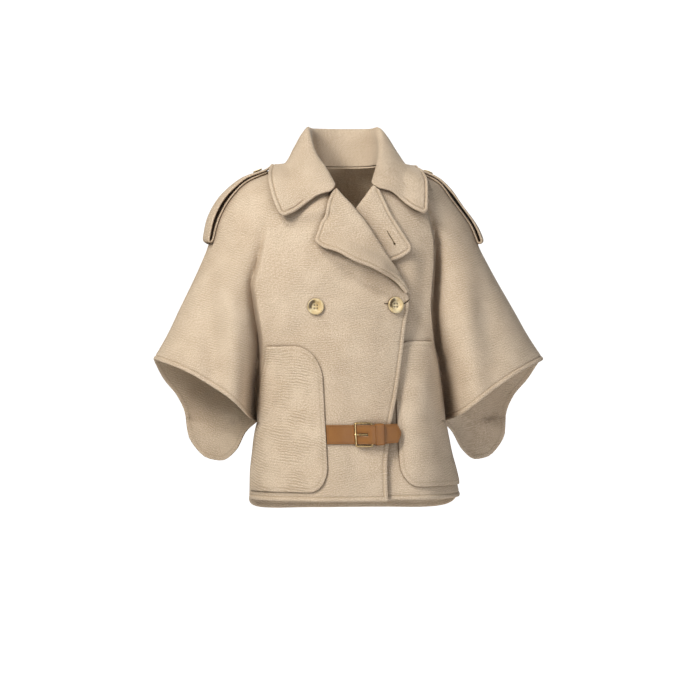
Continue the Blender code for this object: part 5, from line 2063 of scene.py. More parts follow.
@dataclass
class HornButtons:
    """Four-hole buttons turned from horn, with a wide raised rim round a deep dish."""

    form: CapeForm
    radius: float = 14.9
    places: tuple[tuple[float, float], ...] = ((-71.3, -264.2), (73.5, -261.4))
    hole: float = 1.4
    hole_place: float = 2.7
    dish: float = 0.080
    thread_radius: float = 0.17
    thread_apart: float = 0.2
    # Rings and sides of the turned mesh.
    rings: int = 44
    sides: int = 72
    # A painted shadow of the rim lies in the dish at this turn, in degrees, on the side
    # away from the light. Its edges are shares of the radius, and a cosine for its ends.
    shadow_at: float = 150.0
    shadow_inside: float = 0.42
    shadow_outside: float = 0.95
    shadow_ends: float = 0.45
    tab_radius: float = 9.0
    tab_place: float = 0.12
    tab_gap: float = 0.3

    def profile(self, radius: float) -> Array:
        """Makes the outline of half a button's section.

        Args:
            radius: the button's outer radius.

        Returns:
            Points of (radius, height).
        """
        section = np.stack([BUTTON["radius"], BUTTON["height"]], axis=-1) * radius
        return strung(section, np.linspace(0, 1, self.rings))

    def cloud(self, mesh: bpy.types.Mesh, radius: float) -> Array:
        """Finds how much of the painted rim shadow each point of a button shows.

        Args:
            mesh: the button.
            radius: the button's outer radius.

        Returns:
            A share for each point.
        """
        spots = np.empty((len(mesh.vertices), 3))
        mesh.vertices.foreach_get("co", spots.ravel())
        out_by = np.hypot(spots[:, 0], spots[:, 1]) / radius
        towards = np.cos(np.arctan2(spots[:, 1], spots[:, 0]) - math.radians(self.shadow_at))
        ring = ease((out_by - self.shadow_inside) / 0.14) * ease((self.shadow_outside - out_by) / 0.10)
        return ring * ease((towards - self.shadow_ends) / 0.35)

    def set(self, name: str, radius: float, point: Array, out: Array, dress: Dress) -> None:
        """Lays a button on the cloth, with the thread that holds it.

        Args:
            name: the CAD node that it stands for.
            radius: its outer radius.
            point: place of the middle of its back, in the coat's own frame.
            out: direction that it faces.
            dress: the coat's finishes.
        """
        out = Vector(out).normalized()
        across = Vector((0, 0, 1)).cross(out).normalized()
        facing = Matrix((across, out.cross(across), out)).transposed().to_4x4()
        place = Matrix.Translation(Vector(self.form.place(point))) @ facing @ Matrix.Scale(MM, 4)
        size = radius / self.radius
        body = hang(f"{name}_turned", turned_mesh(name, self.profile(radius), self.sides))
        cutter = hang(f"{name}_cutter", self.cutter(size))
        cut = body.modifiers.new("holes", "BOOLEAN")
        cut.operation, cut.object, cut.solver = "DIFFERENCE", cutter, "EXACT"
        mesh = as_mesh(body, f"{name}_horn", cutter)
        # The painted rim shadow is written into the groove mark, which the horn's finish darkens.
        mark_groove(mesh, self.cloud(mesh, radius))
        mesh.transform(place)
        worn(new_piece(mesh, dress.horn, 35), Slot.HORN, name)
        bars = []
        # Half a bar of thread: down through a hole, over the dish and level in the middle.
        half = ((-1, -1.1), (-0.93, -0.1), (-0.5, 0.25), (0, 0.32))
        arch = (*half, *((-x, z) for x, z in half[-2::-1]))
        spread = (self.hole_place * size, self.hole_place * size, 1)
        for y in (-1, 1):
            for shift in (-self.thread_apart, self.thread_apart):
                spots = (np.array([(x, y, z) for x, z in arch]) * spread
                         + (0, shift, self.dish * radius + 0.15 * size))
                bars.append([place @ Vector(spot) for spot in spots])
        thread = rod_mesh(f"{name}_thread", bars, self.thread_radius * size, resolution=3)
        worn(new_piece(thread, dress.thread), Slot.WOOL)

    def cutter(self, size: float) -> bpy.types.Mesh:
        """Makes the four pins that cut the holes.

        Args:
            size: the button's size, as a share of a front button's.

        Returns:
            The pins.
        """
        count, ends = 20, (-8.0, 12.0)
        angle = np.linspace(0, 2 * math.pi, count, endpoint=False)
        points, faces = [], []
        for sx, sy in ((1, 1), (-1, 1), (-1, -1), (1, -1)):
            first = len(points)
            points += [((sx * self.hole_place + self.hole * math.cos(a)) * size,
                        (sy * self.hole_place + self.hole * math.sin(a)) * size, height)
                       for height in ends for a in angle]
            low = [first + i for i in range(count)]
            faces += [(i, j, j + count, i + count) for i, j in zip(low, low[1:] + low[:1])]
            faces += [tuple(reversed(low)), tuple(i + count for i in low)]
        mesh = bpy.data.meshes.new("button_holes")
        mesh.from_pydata(points, [], faces)
        return mesh

    def build(self, tabs: ShoulderTabs, dress: Dress) -> None:
        """Makes the two front buttons and those of the shoulder tabs.

        Args:
            tabs: the tabs that carry two of them.
            dress: the coat's finishes.
        """
        for name, (x, z) in zip(("button_facing", "button_closing"), self.places):
            low, high = (self.form.front_point(x, z, lift) for lift in (0.6, 1.6))
            self.set(name, self.radius, low, high - low, dress)
        height = float(read(TAB, "height", self.tab_place, key="along")) + self.tab_gap
        for side in Side:
            low, high = (tabs.point(side, np.array(self.tab_place), np.array(0.0), np.array(lift))
                         for lift in (height, height + 1))
            self.set(side.of("epaulette_button"), self.tab_radius, low, high - low, dress)


def rod_mesh(name: str, routes: Sequence, radius: float, cyclic: bool = False,
             resolution: int = 6, taper: Sequence[float] | None = None) -> bpy.types.Mesh:
    """Makes round bars along routes of points in metres.

    Args:
        name: the mesh's name.
        routes: one list of points for each bar.
        radius: the bars' radius, in millimetres.
        cyclic: whether each route is a closed ring.
        resolution: fineness round the bar.
        taper: share of the radius at each point of a route.

    Returns:
        The mesh.
    """
    curve = bpy.data.curves.new(name, "CURVE")
    curve.dimensions = "3D"
    curve.bevel_depth = radius * MM
    curve.bevel_resolution = resolution
    curve.use_fill_caps = True
    for route in routes:
        line = curve.splines.new("POLY")
        line.points.add(len(route) - 1)
        for spot, point, share in zip(line.points, route, [1.0] * len(route) if taper is None else taper):
            spot.co = (*point, 1.0)
            spot.radius = share
        line.use_cyclic_u = cyclic
        line.use_smooth = True
    return as_mesh(hang(f"{name}_route", curve), name)


@dataclass
class Buttonhole:
    """A worked buttonhole: a narrow slit in painted shade with close stitches round it."""

    form: CapeForm
    width: float
    lip: float = 0.9
    eyelet: float = 0.0
    eyelet_place: float = 0.93
    eyelet_width: float = 0.06
    stand: float = 0.55
    stitch_stand: float = 0.2

    def build(self, name: str, shell: Shell, route: Sequence[tuple[float, float]],
              dress: Dress) -> None:
        """Works a buttonhole on a piece of cloth.

        Args:
            name: the buttonhole's name.
            shell: the cloth that it is cut in.
            route: places (x, z) along it.
            dress: the coat's finishes.
        """
        along = np.linspace(0, 1, 60)
        points, outs = shell.nearest(strung(np.array(route, float), along))
        across = np.cross(outs, unit(np.gradient(points, axis=0)))
        half = self.width / 2 * np.sin(math.pi * np.clip(along, 0.02, 0.98)) ** 0.35
        half = half + self.eyelet * hump(along, self.eyelet_place, self.eyelet_width)
        grid = np.stack([points + outs * self.stand + across * (half * share)[:, None]
                         for share in (-1, -0.5, 0, 0.5, 1)], axis=1)
        # The slit is a thin dark sheet laid just over the cloth: painted shade where the cut would open.
        slit = Shell(f"{name}_slit", self.form, grid, Cloth(0.5, puff=0, groove=0), free_edges(grid),
                     flip=turned_in(grid, outs[:, None]))
        worn(slit.build(dress.slit), Slot.WOOL)
        lip = across * (half + self.lip / 2)[:, None]
        ways = np.concatenate([outs, outs[::-1]])
        ring = np.concatenate([points + lip, (points - lip)[::-1]]) + ways * self.stitch_stand
        count = len(ring)
        line = Stitches(list(ring), list(ways), [(i, (i + 1) % count) for i in range(count)])
        Topstitch(pitch=1.1, length=1.2, width=self.lip, height=0.8, seed=9).sew(
            f"{name}_worked", self.form, line, dress.thread, Slot.WOOL)


@dataclass
class WaistStrap:
    """The leather strap at the waist with its buckle, prong and keeper."""

    form: CapeForm
    cloth: Cloth = Cloth(thickness=2.2, stitch_in=2.6, puff=0.22, groove=0.3)
    keeper_cloth: Cloth = Cloth(thickness=1.4, stitch_in=2.0, puff=0.15, groove=0.2)
    stitch: Topstitch = Topstitch(pitch=3.0, length=2.3, width=0.55, height=0.5, seed=3)
    level: float = -494.5
    # The strap climbs a little towards its point.
    climb: float = 2.6
    climb_reach: float = 70.0
    half: float = 17.2
    # Places of its stations: at its cut start, where its even run starts and ends, and at
    # its point.
    start_stations: tuple[float, ...] = (-64.3, -64.1, -63.7, -63.1, -62.3)
    even_run: tuple[float, float] = (-61.4, 62.0)
    point_stations: tuple[float, ...] = (63, 64, 65, 66, 66.8, 67.6, 68.4, 69.1, 69.6, 70)
    point_x: float = 62.8
    point_length: float = 7.2
    point_share: float = 0.84
    bar_radius: float = 1.5
    left_bar: tuple[float, float] = (-12.4, 5.0)
    right_bar: tuple[float, float] = (17.0, 6.4)
    frame_half: float = 20.6
    frame_corner: float = 3.4
    prong_radius: float = 1.1
    prong_gap: float = 0.3
    # The short strap: its loop's gap round the bar, how much narrower it is and its slot
    # wider, where its top layer ends, and (x, height) of the layer that runs on below.
    loop_gap: float = 0.5
    narrower: float = 0.4
    loop_end: float = 20.5
    low_layer: tuple[tuple[float, float], ...] = ((31, 3.3), (38, 3.2), (47, 2.2), (56, 1.8),
                                                  (60.5, -0.6), (64.3, -3.8))
    slot_half: float = 2.2
    slot_span: tuple[float, float] = (-6.0, 9.5)
    bare_span: tuple[float, float] = (-10.0, 13.0)
    keeper_span: tuple[float, float] = (23.0, 37.5)
    keeper_half: float = 19.4
    keeper_heights: tuple[float, float] = (0.5, 15.0)
    keeper_corner: float = 2.4

    def point(self, x: Array, height: Array, across: Array) -> Array:
        """Points over the front at the strap's level; across runs up the coat.

        Args:
            x: places from the middle, towards the wearer's left.
            height: how far out of the front.
            across: how far above the strap's middle.

        Returns:
            The points.
        """
        x = np.asarray(x, float)
        level = self.level + self.climb * np.clip(x / self.climb_reach, 0, 1) ** 2
        return self.form.front_point(x, level + across, height)

    def leather(self, node: str, path: Array, half: Array, slot: float, slotted: Array | slice,
                dress: Dress) -> Shell:
        """Makes a strap with a slot for the prong.

        Args:
            node: the CAD node that it stands for.
            path: (x, height) of the leather's middle at each station.
            half: half width at each station.
            slot: half width of the slot.
            slotted: the stretches between stations that the slot runs through.
            dress: the coat's finishes.

        Returns:
            The strap's shell.
        """
        edge = np.array((*LEATHER_STEPS, 2.6, 3.4, 4.6)) / self.half
        inwards = np.concatenate([edge, np.linspace(edge[-1], 1 - slot / self.half, 7)[1:]])
        columns = np.concatenate([inwards - 1, [0.0], (1 - inwards)[::-1]])
        run = unit(np.gradient(path, axis=0))
        skin = path + np.stack([-run[:, 1], run[:, 0]], axis=-1) * (self.cloth.thickness / 2)
        across = half[:, None] * columns[None]
        grid = self.point(skin[:, :1] + 0 * across, skin[:, 1:] + 0 * across, across)
        present = np.ones((len(path) - 1, len(columns) - 1), bool)
        middle = len(columns) // 2
        present[slotted, middle - 1:middle + 1] = False
        shell = Shell(f"{node}_leather", self.form, grid, self.cloth, np.ones(grid.shape[:2], bool), present)
        worn(shell.build(dress.leather), Slot.LEATHER, node)
        return shell

    def strap(self, dress: Dress) -> None:
        """Makes the strap with its point, which lies under the left bar and over the right one.

        Args:
            dress: the coat's finishes.
        """
        start, end = self.slot_span
        first, last = self.even_run
        x = np.concatenate([self.start_stations, np.linspace(first, start, 34),
                            np.linspace(start, end, 12)[1:], np.linspace(end, last, 30)[1:],
                            self.point_stations])
        path = np.stack([x, read(STRAP, "height", x, key="x")], axis=-1)
        drawn = np.clip((x - self.point_x) / self.point_length, 0, 1) ** 1.1
        slotted = (x[:-1] >= start - 0.01) & (x[1:] <= end + 0.01)
        shell = self.leather("strap", path, self.half * (1 - self.point_share * drawn), self.slot_half,
                             slotted, dress)
        # No thread runs along the slot.
        keep = np.ones(shell.present.shape, bool)
        row_x, (low, high) = shell.grid[:-1, 0, 0], self.bare_span
        keep[(row_x > low) & (row_x < high), 6:-6] = False
        self.stitch.sew("strap_stitch", self.form, shell.stitch_line(keep), dress.leather_thread,
                        Slot.LEATHER)

    def buckle_strap(self, dress: Dress) -> None:
        """Makes the short strap that holds the buckle's right bar in its loop.

        Args:
            dress: the coat's finishes.
        """
        bar_x, bar_height = self.right_bar
        radius = self.bar_radius + self.loop_gap + self.cloth.thickness / 2
        path = [(self.loop_end, bar_height + radius - 0.2)]
        path += [(bar_x + radius * math.cos(turn), bar_height + radius * math.sin(turn))
                 for turn in np.radians(np.linspace(90, 270, 28))]
        path += [(24, bar_height - radius), *self.low_layer]
        self.leather("buckle_strap", np.array(path, float), np.full(len(path), self.half - self.narrower),
                     self.slot_half + self.narrower, slice(30), dress)

    def keeper(self, dress: Dress) -> None:
        """Makes the keeper, a loop of leather whose ends meet behind the strap.

        Args:
            dress: the coat's finishes.
        """
        low, high = self.keeper_heights
        ring = rounded_ring((-self.keeper_half, low), (self.keeper_half, high), self.keeper_corner, 3, 7)
        ring = np.array([(0.05, low), *ring, (-0.05, low)])
        near, far = self.keeper_span
        edge = np.array((*LEATHER_STEPS, 2.5, 3.3))
        across = np.concatenate([near + edge, near + np.linspace(4.4, 10.1, 5), far - edge[::-1]])
        grid = np.array([self.point(np.full(len(ring), x), ring[:, 1], ring[:, 0]) for x in across])
        grid = spread_out(grid, (0,), 110, (0,))
        middle = grid[len(across) // 2].mean(axis=0)
        shell = Shell("keeper_leather", self.form, grid, self.keeper_cloth, free_edges(grid, (0, -1)),
                      flip=turned_in(grid, grid - middle))
        worn(shell.build(dress.leather), Slot.LEATHER, "keeper")

    def buckle(self, dress: Dress) -> None:
        """Makes the brass frame and its prong.

        Args:
            dress: the coat's finishes.
        """
        (left_x, left_height), (right_x, right_height) = self.left_bar, self.right_bar
        outline = np.array(rounded_ring((left_x, -self.frame_half), (right_x, self.frame_half),
                                        self.frame_corner, 0, 9))
        tilt = left_height + (right_height - left_height) * (outline[:, 0] - left_x) / (right_x - left_x)
        points = self.form.place(self.point(outline[:, 0], tilt, outline[:, 1]))
        frame_mesh = rod_mesh("buckle_frame_brass", [points], self.bar_radius + 0.15, cyclic=True)
        worn(new_piece(frame_mesh, dress.brass), Slot.BRASS, "buckle_frame")
        # The prong's eye goes round the right bar; its tip rests on the left one.
        eye = self.bar_radius + self.prong_gap + self.prong_radius
        path = [(right_x + eye * math.cos(turn), right_height + eye * math.sin(turn))
                for turn in np.radians(np.linspace(-20, -250, 26))]
        rest = left_height + self.bar_radius + self.prong_radius + self.prong_gap
        path += [(8.0, rest + 0.2), (2.0, rest + 0.3), (-4.0, rest + 0.2), (-8.5, rest + 0.1),
                 (left_x, rest), (left_x - 1.4, rest - 0.3), (left_x - 2.4, rest - 0.7)]
        path = np.array(path)
        points = self.form.place(self.point(path[:, 0], path[:, 1], np.zeros(len(path))))
        taper = [1.0] * (len(path) - 6) + [0.98, 0.95, 0.9, 0.84, 0.72, 0.5]
        prong = rod_mesh("buckle_prong_brass", [points], self.prong_radius + 0.1, taper=taper)
        worn(new_piece(prong, dress.brass), Slot.BRASS, "buckle_prong")

    def build(self, dress: Dress) -> None:
        """Makes the strap and what holds it.

        Args:
            dress: the coat's finishes.
        """
        self.strap(dress)
        self.buckle_strap(dress)
        self.keeper(dress)
        self.buckle(dress)


# ---------------------------------------------------------------- finishes


def linear(colour: str) -> tuple[float, float, float, float]:
    """Turns an sRGB hex colour into Blender's linear one."""
    parts = [int(colour[i:i + 2], 16) / 255 for i in (1, 3, 5)]
    return (*(c / 12.92 if c <= 0.04045 else ((c + 0.055) / 1.055) ** 2.4 for c in parts), 1.0)


def per_metre(size_mm: float) -> float:
    """Scale of a noise or pore pattern whose cells have a size in millimetres."""
    return 1000 / size_mm


def bands_per_metre(pitch_mm: float) -> float:
    """Scale of a wave pattern whose bands lie a pitch in millimetres apart."""
    return 314.16 / pitch_mm


def new_material(name: str) -> tuple[bpy.types.Material, bpy.types.NodeTree, bpy.types.Node]:
    """Starts a material with one plain shader.

    Args:
        name: its name.

    Returns:
        The material, its node tree and its main shader.
    """
    material = bpy.data.materials.new(name)
    material.use_nodes = True
    tree = material.node_tree
    return material, tree, tree.nodes["Principled BSDF"]


@dataclass(frozen=True)
class BrushedWool:
    """Double-faced wool coating, milled and brushed: a soft matt nap that lies in short ripples."""

    name: str = "brushed_double_faced_wool"
    colour: str = "#D1BFA7"
    shade: str = "#C7B39A"
    deep: str = "#9C876D"
    light: str = "#E2D3C0"
    # Colour of the painted shade under edges and in folds, and below how far that darkening reaches.
    painted_shade: str = "#725B45"
    painted_shade_mm: float = 38.0
    ripple_pitch_mm: float = 4.3
    ripple_height_mm: float = 0.22
    ripple_tint: float = 0.32
    # Fibres are 0.02 mm thick; the grain is drawn as coarse as it needs to show.
    grain_mm: float = 1.9
    grain_height_mm: float = 0.32

    def build(self) -> bpy.types.Material:
        """Makes the material: the nap with its ripples, its grain, and painted shade in its nooks and
        stitched grooves.

        Returns:
            The material.
        """
        material, tree, shader = new_material(self.name)
        solid = add_node(tree, "ShaderNodeTexCoord", out="Object")
        groove = add_node(tree, "ShaderNodeAttribute", {"attribute_name": GROOVE_NAME}, out="Fac")
        flat = add_node(tree, "ShaderNodeUVMap", {"uv_map": UV_NAME}, out="UV")
        # The nap lies in short waves across the cloth, which run into each other.
        wave = add_node(tree, "ShaderNodeTexWave", {"wave_type": "BANDS", "bands_direction": "Y"}, {
            "Vector": flat, "Scale": bands_per_metre(self.ripple_pitch_mm), "Distortion": 6.0,
            "Detail": 2.5, "Detail Scale": 0.6, "Detail Roughness": 0.6}, "Fac")
        patches = add_node(tree, "ShaderNodeTexNoise", {"noise_dimensions": "3D"},
                           {"Vector": solid, "Scale": 26.0, "Detail": 2.0}, "Fac")
        patches = add_node(tree, "ShaderNodeMapRange", {"interpolation_type": "SMOOTHSTEP"},
                           {"Value": patches, 1: 0.36, 2: 0.60, 3: 0.35, 4: 1.0}, 0)
        ripple = add_node(tree, "ShaderNodeMath", {"operation": "MULTIPLY"}, {0: wave, 1: patches}, 0)
        trough = add_node(tree, "ShaderNodeMath", {"operation": "SUBTRACT"}, {0: patches, 1: ripple}, 0)
        grain = add_node(tree, "ShaderNodeTexNoise", {"noise_dimensions": "3D"}, {
            "Vector": flat, "Scale": per_metre(self.grain_mm), "Detail": 2.0, "Roughness": 0.6}, "Fac")
        mottle = add_node(tree, "ShaderNodeTexNoise", {"noise_dimensions": "3D"},
                          {"Vector": solid, "Scale": 17.0, "Detail": 3.0}, "Fac")
        # Painted shade: under the edges and in the folds the colour darkens where nearby faces close in.
        nook = add_node(tree, "ShaderNodeAmbientOcclusion", {"samples": 8},
                        {"Distance": self.painted_shade_mm * MM}, "AO")
        tone = linear(self.shade)
        # The groove mark paints shade into the stitched grooves, and the last step paints shade where nearby
        # faces close in.
        for value, low, high, most, colour in (
                (mottle, 0.35, 0.65, 1.0, self.colour), (grain, 0.50, 0.65, 0.95, self.light),
                (grain, 0.50, 0.35, 0.50, self.deep), (trough, 0.25, 1.0, self.ripple_tint, self.deep),
                (groove, 0.0, 1.0, 0.30, self.deep), (nook, 0.92, 0.32, 0.78, self.painted_shade)):
            share = add_node(tree, "ShaderNodeMapRange", {},
                             {"Value": value, 1: low, 2: high, 3: 0.0, 4: most}, 0)
            tone = add_node(tree, "ShaderNodeMix", {"data_type": "RGBA"},
                            {0: share, 6: tone, 7: linear(colour)}, 2)
        height = add_node(tree, "ShaderNodeMath", {"operation": "MULTIPLY"},
                          {0: ripple, 1: self.ripple_height_mm * MM}, 0)
        height = add_node(tree, "ShaderNodeMath", {"operation": "MULTIPLY_ADD"},
                          {0: grain, 1: self.grain_height_mm * MM, 2: height}, 0)
        bump = add_node(tree, "ShaderNodeBump",
                        links={"Strength": 1.0, "Distance": 1.0, "Height": height}, out=0)
        # Wool scatters light in its fibres: no gloss, and a soft light along the nap's edge.
        feed(tree, shader, {
            "Base Color": tone, "Normal": bump, "Roughness": 0.92, "Specular IOR Level": 0.12,
            "Sheen Weight": 0.22, "Sheen Roughness": 0.5, "Sheen Tint": linear("#FFF4E4")})
        return material


@dataclass(frozen=True)
class Thread:
    """Spun sewing thread: fine twisted plies with a low lustre."""

    name: str = "spun_polyester_thread"
    colour: str = "#C9B598"
    dark: str = "#AE9A7C"
    ply_mm: float = 0.5

    def build(self) -> bpy.types.Material:
        """Makes the material: twisted plies, which show as fine slanting stripes.

        Returns:
            The material.
        """
        material, tree, shader = new_material(self.name)
        solid = add_node(tree, "ShaderNodeTexCoord", out="Object")
        plies = add_node(tree, "ShaderNodeTexWave", {"bands_direction": "DIAGONAL"},
                         {"Vector": solid, "Scale": bands_per_metre(self.ply_mm), "Distortion": 1.5}, "Fac")
        tone = add_node(tree, "ShaderNodeMix", {"data_type": "RGBA"},
                        {0: plies, 6: linear(self.dark), 7: linear(self.colour)}, 2)
        bump = add_node(tree, "ShaderNodeBump",
                        links={"Strength": 0.5, "Distance": 0.1 * MM, "Height": plies}, out=0)
        feed(tree, shader, {"Base Color": tone, "Normal": bump, "Roughness": 0.75, "Sheen Weight": 0.2})
        return material


@dataclass(frozen=True)
class SlitShade:
    """The cut inside a buttonhole, as a dark sheet of painted shade: fuzzy raw wool that little light
    reaches.
    """

    name: str = "cut_wool_in_shade"
    colour: str = "#2E241A"
    edge: str = "#4E3F2E"

    def build(self) -> bpy.types.Material:
        """Makes the material.

        Returns:
            The material.
        """
        material, tree, shader = new_material(self.name)
        solid = add_node(tree, "ShaderNodeTexCoord", out="Object")
        fuzz = add_node(tree, "ShaderNodeTexNoise",
                        links={"Vector": solid, "Scale": 1400.0, "Detail": 2.0}, out="Fac")
        tone = add_node(tree, "ShaderNodeMix", {"data_type": "RGBA"},
                        {0: fuzz, 6: linear(self.colour), 7: linear(self.edge)}, 2)
        feed(tree, shader, {"Base Color": tone, "Roughness": 0.95})
        return material


@dataclass(frozen=True)
class TanLeather:
    """Vegetable-tanned cowhide, dyed tan and waxed: smooth, with fine pores and darker cut edges."""

    name: str = "vegetable_tanned_cowhide"
    colour: str = "#95642B"
    deep: str = "#875727"
    seam: str = "#6B4320"
    roughness: float = 0.5
    pore_mm: float = 0.9
    cloud_mm: float = 24.0

    def build(self) -> bpy.types.Material:
        """Makes the material: dye that lies in clouds, over a waxed and creased grain.

        Returns:
            The material.
        """
        material, tree, shader = new_material(self.name)
        solid = add_node(tree, "ShaderNodeTexCoord", out="Object")
        groove = add_node(tree, "ShaderNodeAttribute", {"attribute_name": GROOVE_NAME}, out="Fac")
        cloud = add_node(tree, "ShaderNodeTexNoise", links={
            "Vector": solid, "Scale": per_metre(self.cloud_mm), "Detail": 3.0}, out="Fac")
        pore = add_node(tree, "ShaderNodeTexVoronoi", {"feature": "F1"},
                        {"Vector": solid, "Scale": per_metre(self.pore_mm)}, "Distance")
        crease = add_node(tree, "ShaderNodeTexNoise",
                          links={"Vector": solid, "Scale": 420.0, "Detail": 3.0}, out="Fac")
        edge = add_node(tree, "ShaderNodeMath", {"operation": "MULTIPLY"}, {0: groove, 1: 0.4}, 0)
        tone = linear(self.deep)
        for share, colour in ((cloud, self.colour), (edge, self.seam)):
            tone = add_node(tree, "ShaderNodeMix", {"data_type": "RGBA"},
                            {0: share, 6: tone, 7: linear(colour)}, 2)
        height = add_node(tree, "ShaderNodeMath", {"operation": "MULTIPLY"}, {0: pore, 1: 0.06 * MM}, 0)
        height = add_node(tree, "ShaderNodeMath", {"operation": "MULTIPLY_ADD"},
                          {0: crease, 1: 0.10 * MM, 2: height}, 0)
        bump = add_node(tree, "ShaderNodeBump",
                        links={"Strength": 0.6, "Distance": 1.0, "Height": height}, out=0)
        # Wax over the grain gives a broken soft gloss.
        gloss = add_node(tree, "ShaderNodeMapRange", {}, {
            "Value": crease, 1: 0.3, 2: 0.7, 3: self.roughness - 0.07, 4: self.roughness + 0.1}, 0)
        feed(tree, shader, {"Base Color": tone, "Roughness": gloss, "Normal": bump, "IOR": 1.5})
        return material


@dataclass(frozen=True)
class Horn:
    """Pale horn, turned on a lathe: faint drawn-out clouds under a satin face."""

    name: str = "turned_pale_horn"
    colour: str = "#E6D6AE"
    streak: str = "#D2B884"
    # Colour of the painted shade in the nooks and of the painted rim shadow in the dish.
    painted_shade_colour: str = "#3E2B1A"
    roughness: float = 0.34
    layer_mm: float = 9.0
    painted_shade_mm: float = 3.5

    def build(self) -> bpy.types.Material:
        """Makes the material: layers, which show as clouds, painted shade in the nooks and a painted rim
        shadow in the dish.

        Returns:
            The material.
        """
        material, tree, shader = new_material(self.name)
        solid = add_node(tree, "ShaderNodeTexCoord", out="Object")
        groove = add_node(tree, "ShaderNodeAttribute", {"attribute_name": GROOVE_NAME}, out="Fac")
        drawn = add_node(tree, "ShaderNodeMapping", links={
            "Vector": solid, "Rotation": (0.3, 0.2, 0.7), "Scale": (1.0, 1.0, 0.35)}, out=0)
        cloud = add_node(tree, "ShaderNodeTexNoise", links={
            "Vector": drawn, "Scale": per_metre(self.layer_mm), "Detail": 3.0, "Distortion": 0.5}, out="Fac")
        layers = add_node(tree, "ShaderNodeMapRange", {}, {"Value": cloud, 1: 0.35, 2: 0.6}, 0)
        # Painted shade where the rim meets the dish and in the holes: darker where nearby faces close in.
        nook = add_node(tree, "ShaderNodeAmbientOcclusion", {"samples": 8},
                        {"Distance": self.painted_shade_mm * MM}, "AO")
        occluded_shade = add_node(tree, "ShaderNodeMapRange", {}, {"Value": nook, 1: 0.95, 2: 0.35, 3: 0.0, 4: 1.0}, 0)
        # Painted shadow of the rim on one side of the dish, the side away from the light.
        dark = add_node(tree, "ShaderNodeMath", {"operation": "MULTIPLY_ADD", "use_clamp": True},
                        {0: groove, 1: 0.85, 2: occluded_shade}, 0)
        tone = linear(self.streak)
        for share, colour in ((layers, self.colour), (dark, self.painted_shade_colour)):
            tone = add_node(tree, "ShaderNodeMix", {"data_type": "RGBA"},
                            {0: share, 6: tone, 7: linear(colour)}, 2)
        scratch = add_node(tree, "ShaderNodeTexNoise",
                           links={"Vector": solid, "Scale": 900.0, "Detail": 2.0}, out="Fac")
        gloss = add_node(tree, "ShaderNodeMapRange", {}, {
            "Value": scratch, 1: 0.3, 2: 0.7, 3: self.roughness - 0.05, 4: self.roughness + 0.1}, 0)
        feed(tree, shader, {"Base Color": tone, "Roughness": gloss, "IOR": 1.54})
        return material


@dataclass(frozen=True)
class Brass:
    """Polished cast brass, lightly rubbed: warm reflections, blurred unevenly."""

    name: str = "polished_brass"
    colour: str = "#E6CF9C"
    tarnish: str = "#BF9F66"
    roughness: float = 0.27

    def build(self) -> bpy.types.Material:
        """Makes the material: a rubbed face, which keeps its colour in its reflections.

        Returns:
            The material.
        """
        material, tree, shader = new_material(self.name)
        solid = add_node(tree, "ShaderNodeTexCoord", out="Object")
        cloud = add_node(tree, "ShaderNodeTexNoise",
                         links={"Vector": solid, "Scale": 260.0, "Detail": 4.0}, out="Fac")
        rubbed = add_node(tree, "ShaderNodeMapRange", {}, {"Value": cloud, 1: 0.35, 2: 0.55}, 0)
        tone = add_node(tree, "ShaderNodeMix", {"data_type": "RGBA"},
                        {0: rubbed, 6: linear(self.tarnish), 7: linear(self.colour)}, 2)
        gloss = add_node(tree, "ShaderNodeMapRange", {}, {
            "Value": cloud, 1: 0.3, 2: 0.7, 3: self.roughness + 0.1, 4: self.roughness - 0.04}, 0)
        feed(tree, shader, {"Base Color": tone, "Roughness": gloss, "Metallic": 1.0})
        return material


@dataclass(frozen=True)
class FloorPaint:
    """Rolled matt paint of the studio's floor: even, with a faint stipple."""

    name: str = "matt_floor_paint"
    colour: str = "#F4F3F1"
    stipple: str = "#F0EFED"

    def build(self) -> bpy.types.Material:
        """Makes the material.

        Returns:
            The material.
        """
        material, tree, shader = new_material(self.name)
        solid = add_node(tree, "ShaderNodeTexCoord", out="Object")
        dots = add_node(tree, "ShaderNodeTexNoise",
                        links={"Vector": solid, "Scale": 40.0, "Detail": 3.0}, out="Fac")
        tone = add_node(tree, "ShaderNodeMix", {"data_type": "RGBA"},
                        {0: dots, 6: linear(self.stipple), 7: linear(self.colour)}, 2)
        feed(tree, shader, {"Base Color": tone, "Roughness": 0.85})
        return material


# ---------------------------------------------------------------- studio


@dataclass(frozen=True)
class Lamp:
    """A soft square lamp: where it hangs, its side, its power and its colour."""

    name: str
    place: tuple[float, float, float]
    size: float
    watts: float
    colour: str


LAMPS = (
    Lamp("key_softbox", (-2.2, -2.2, 1.6), 0.8, 82.0, "#FFFAF3"),
    Lamp("top_softbox", (-1.4, -1.7, 2.5), 0.6, 52.0, "#FFFDFA"),
    Lamp("low_softbox", (1.3, -3.1, -0.6), 1.4, 33.0, "#FAFAFF"),
    Lamp("back_softbox", (0.9, 2.8, 1.2), 1.6, 45.0, "#FFFFFF"),
)


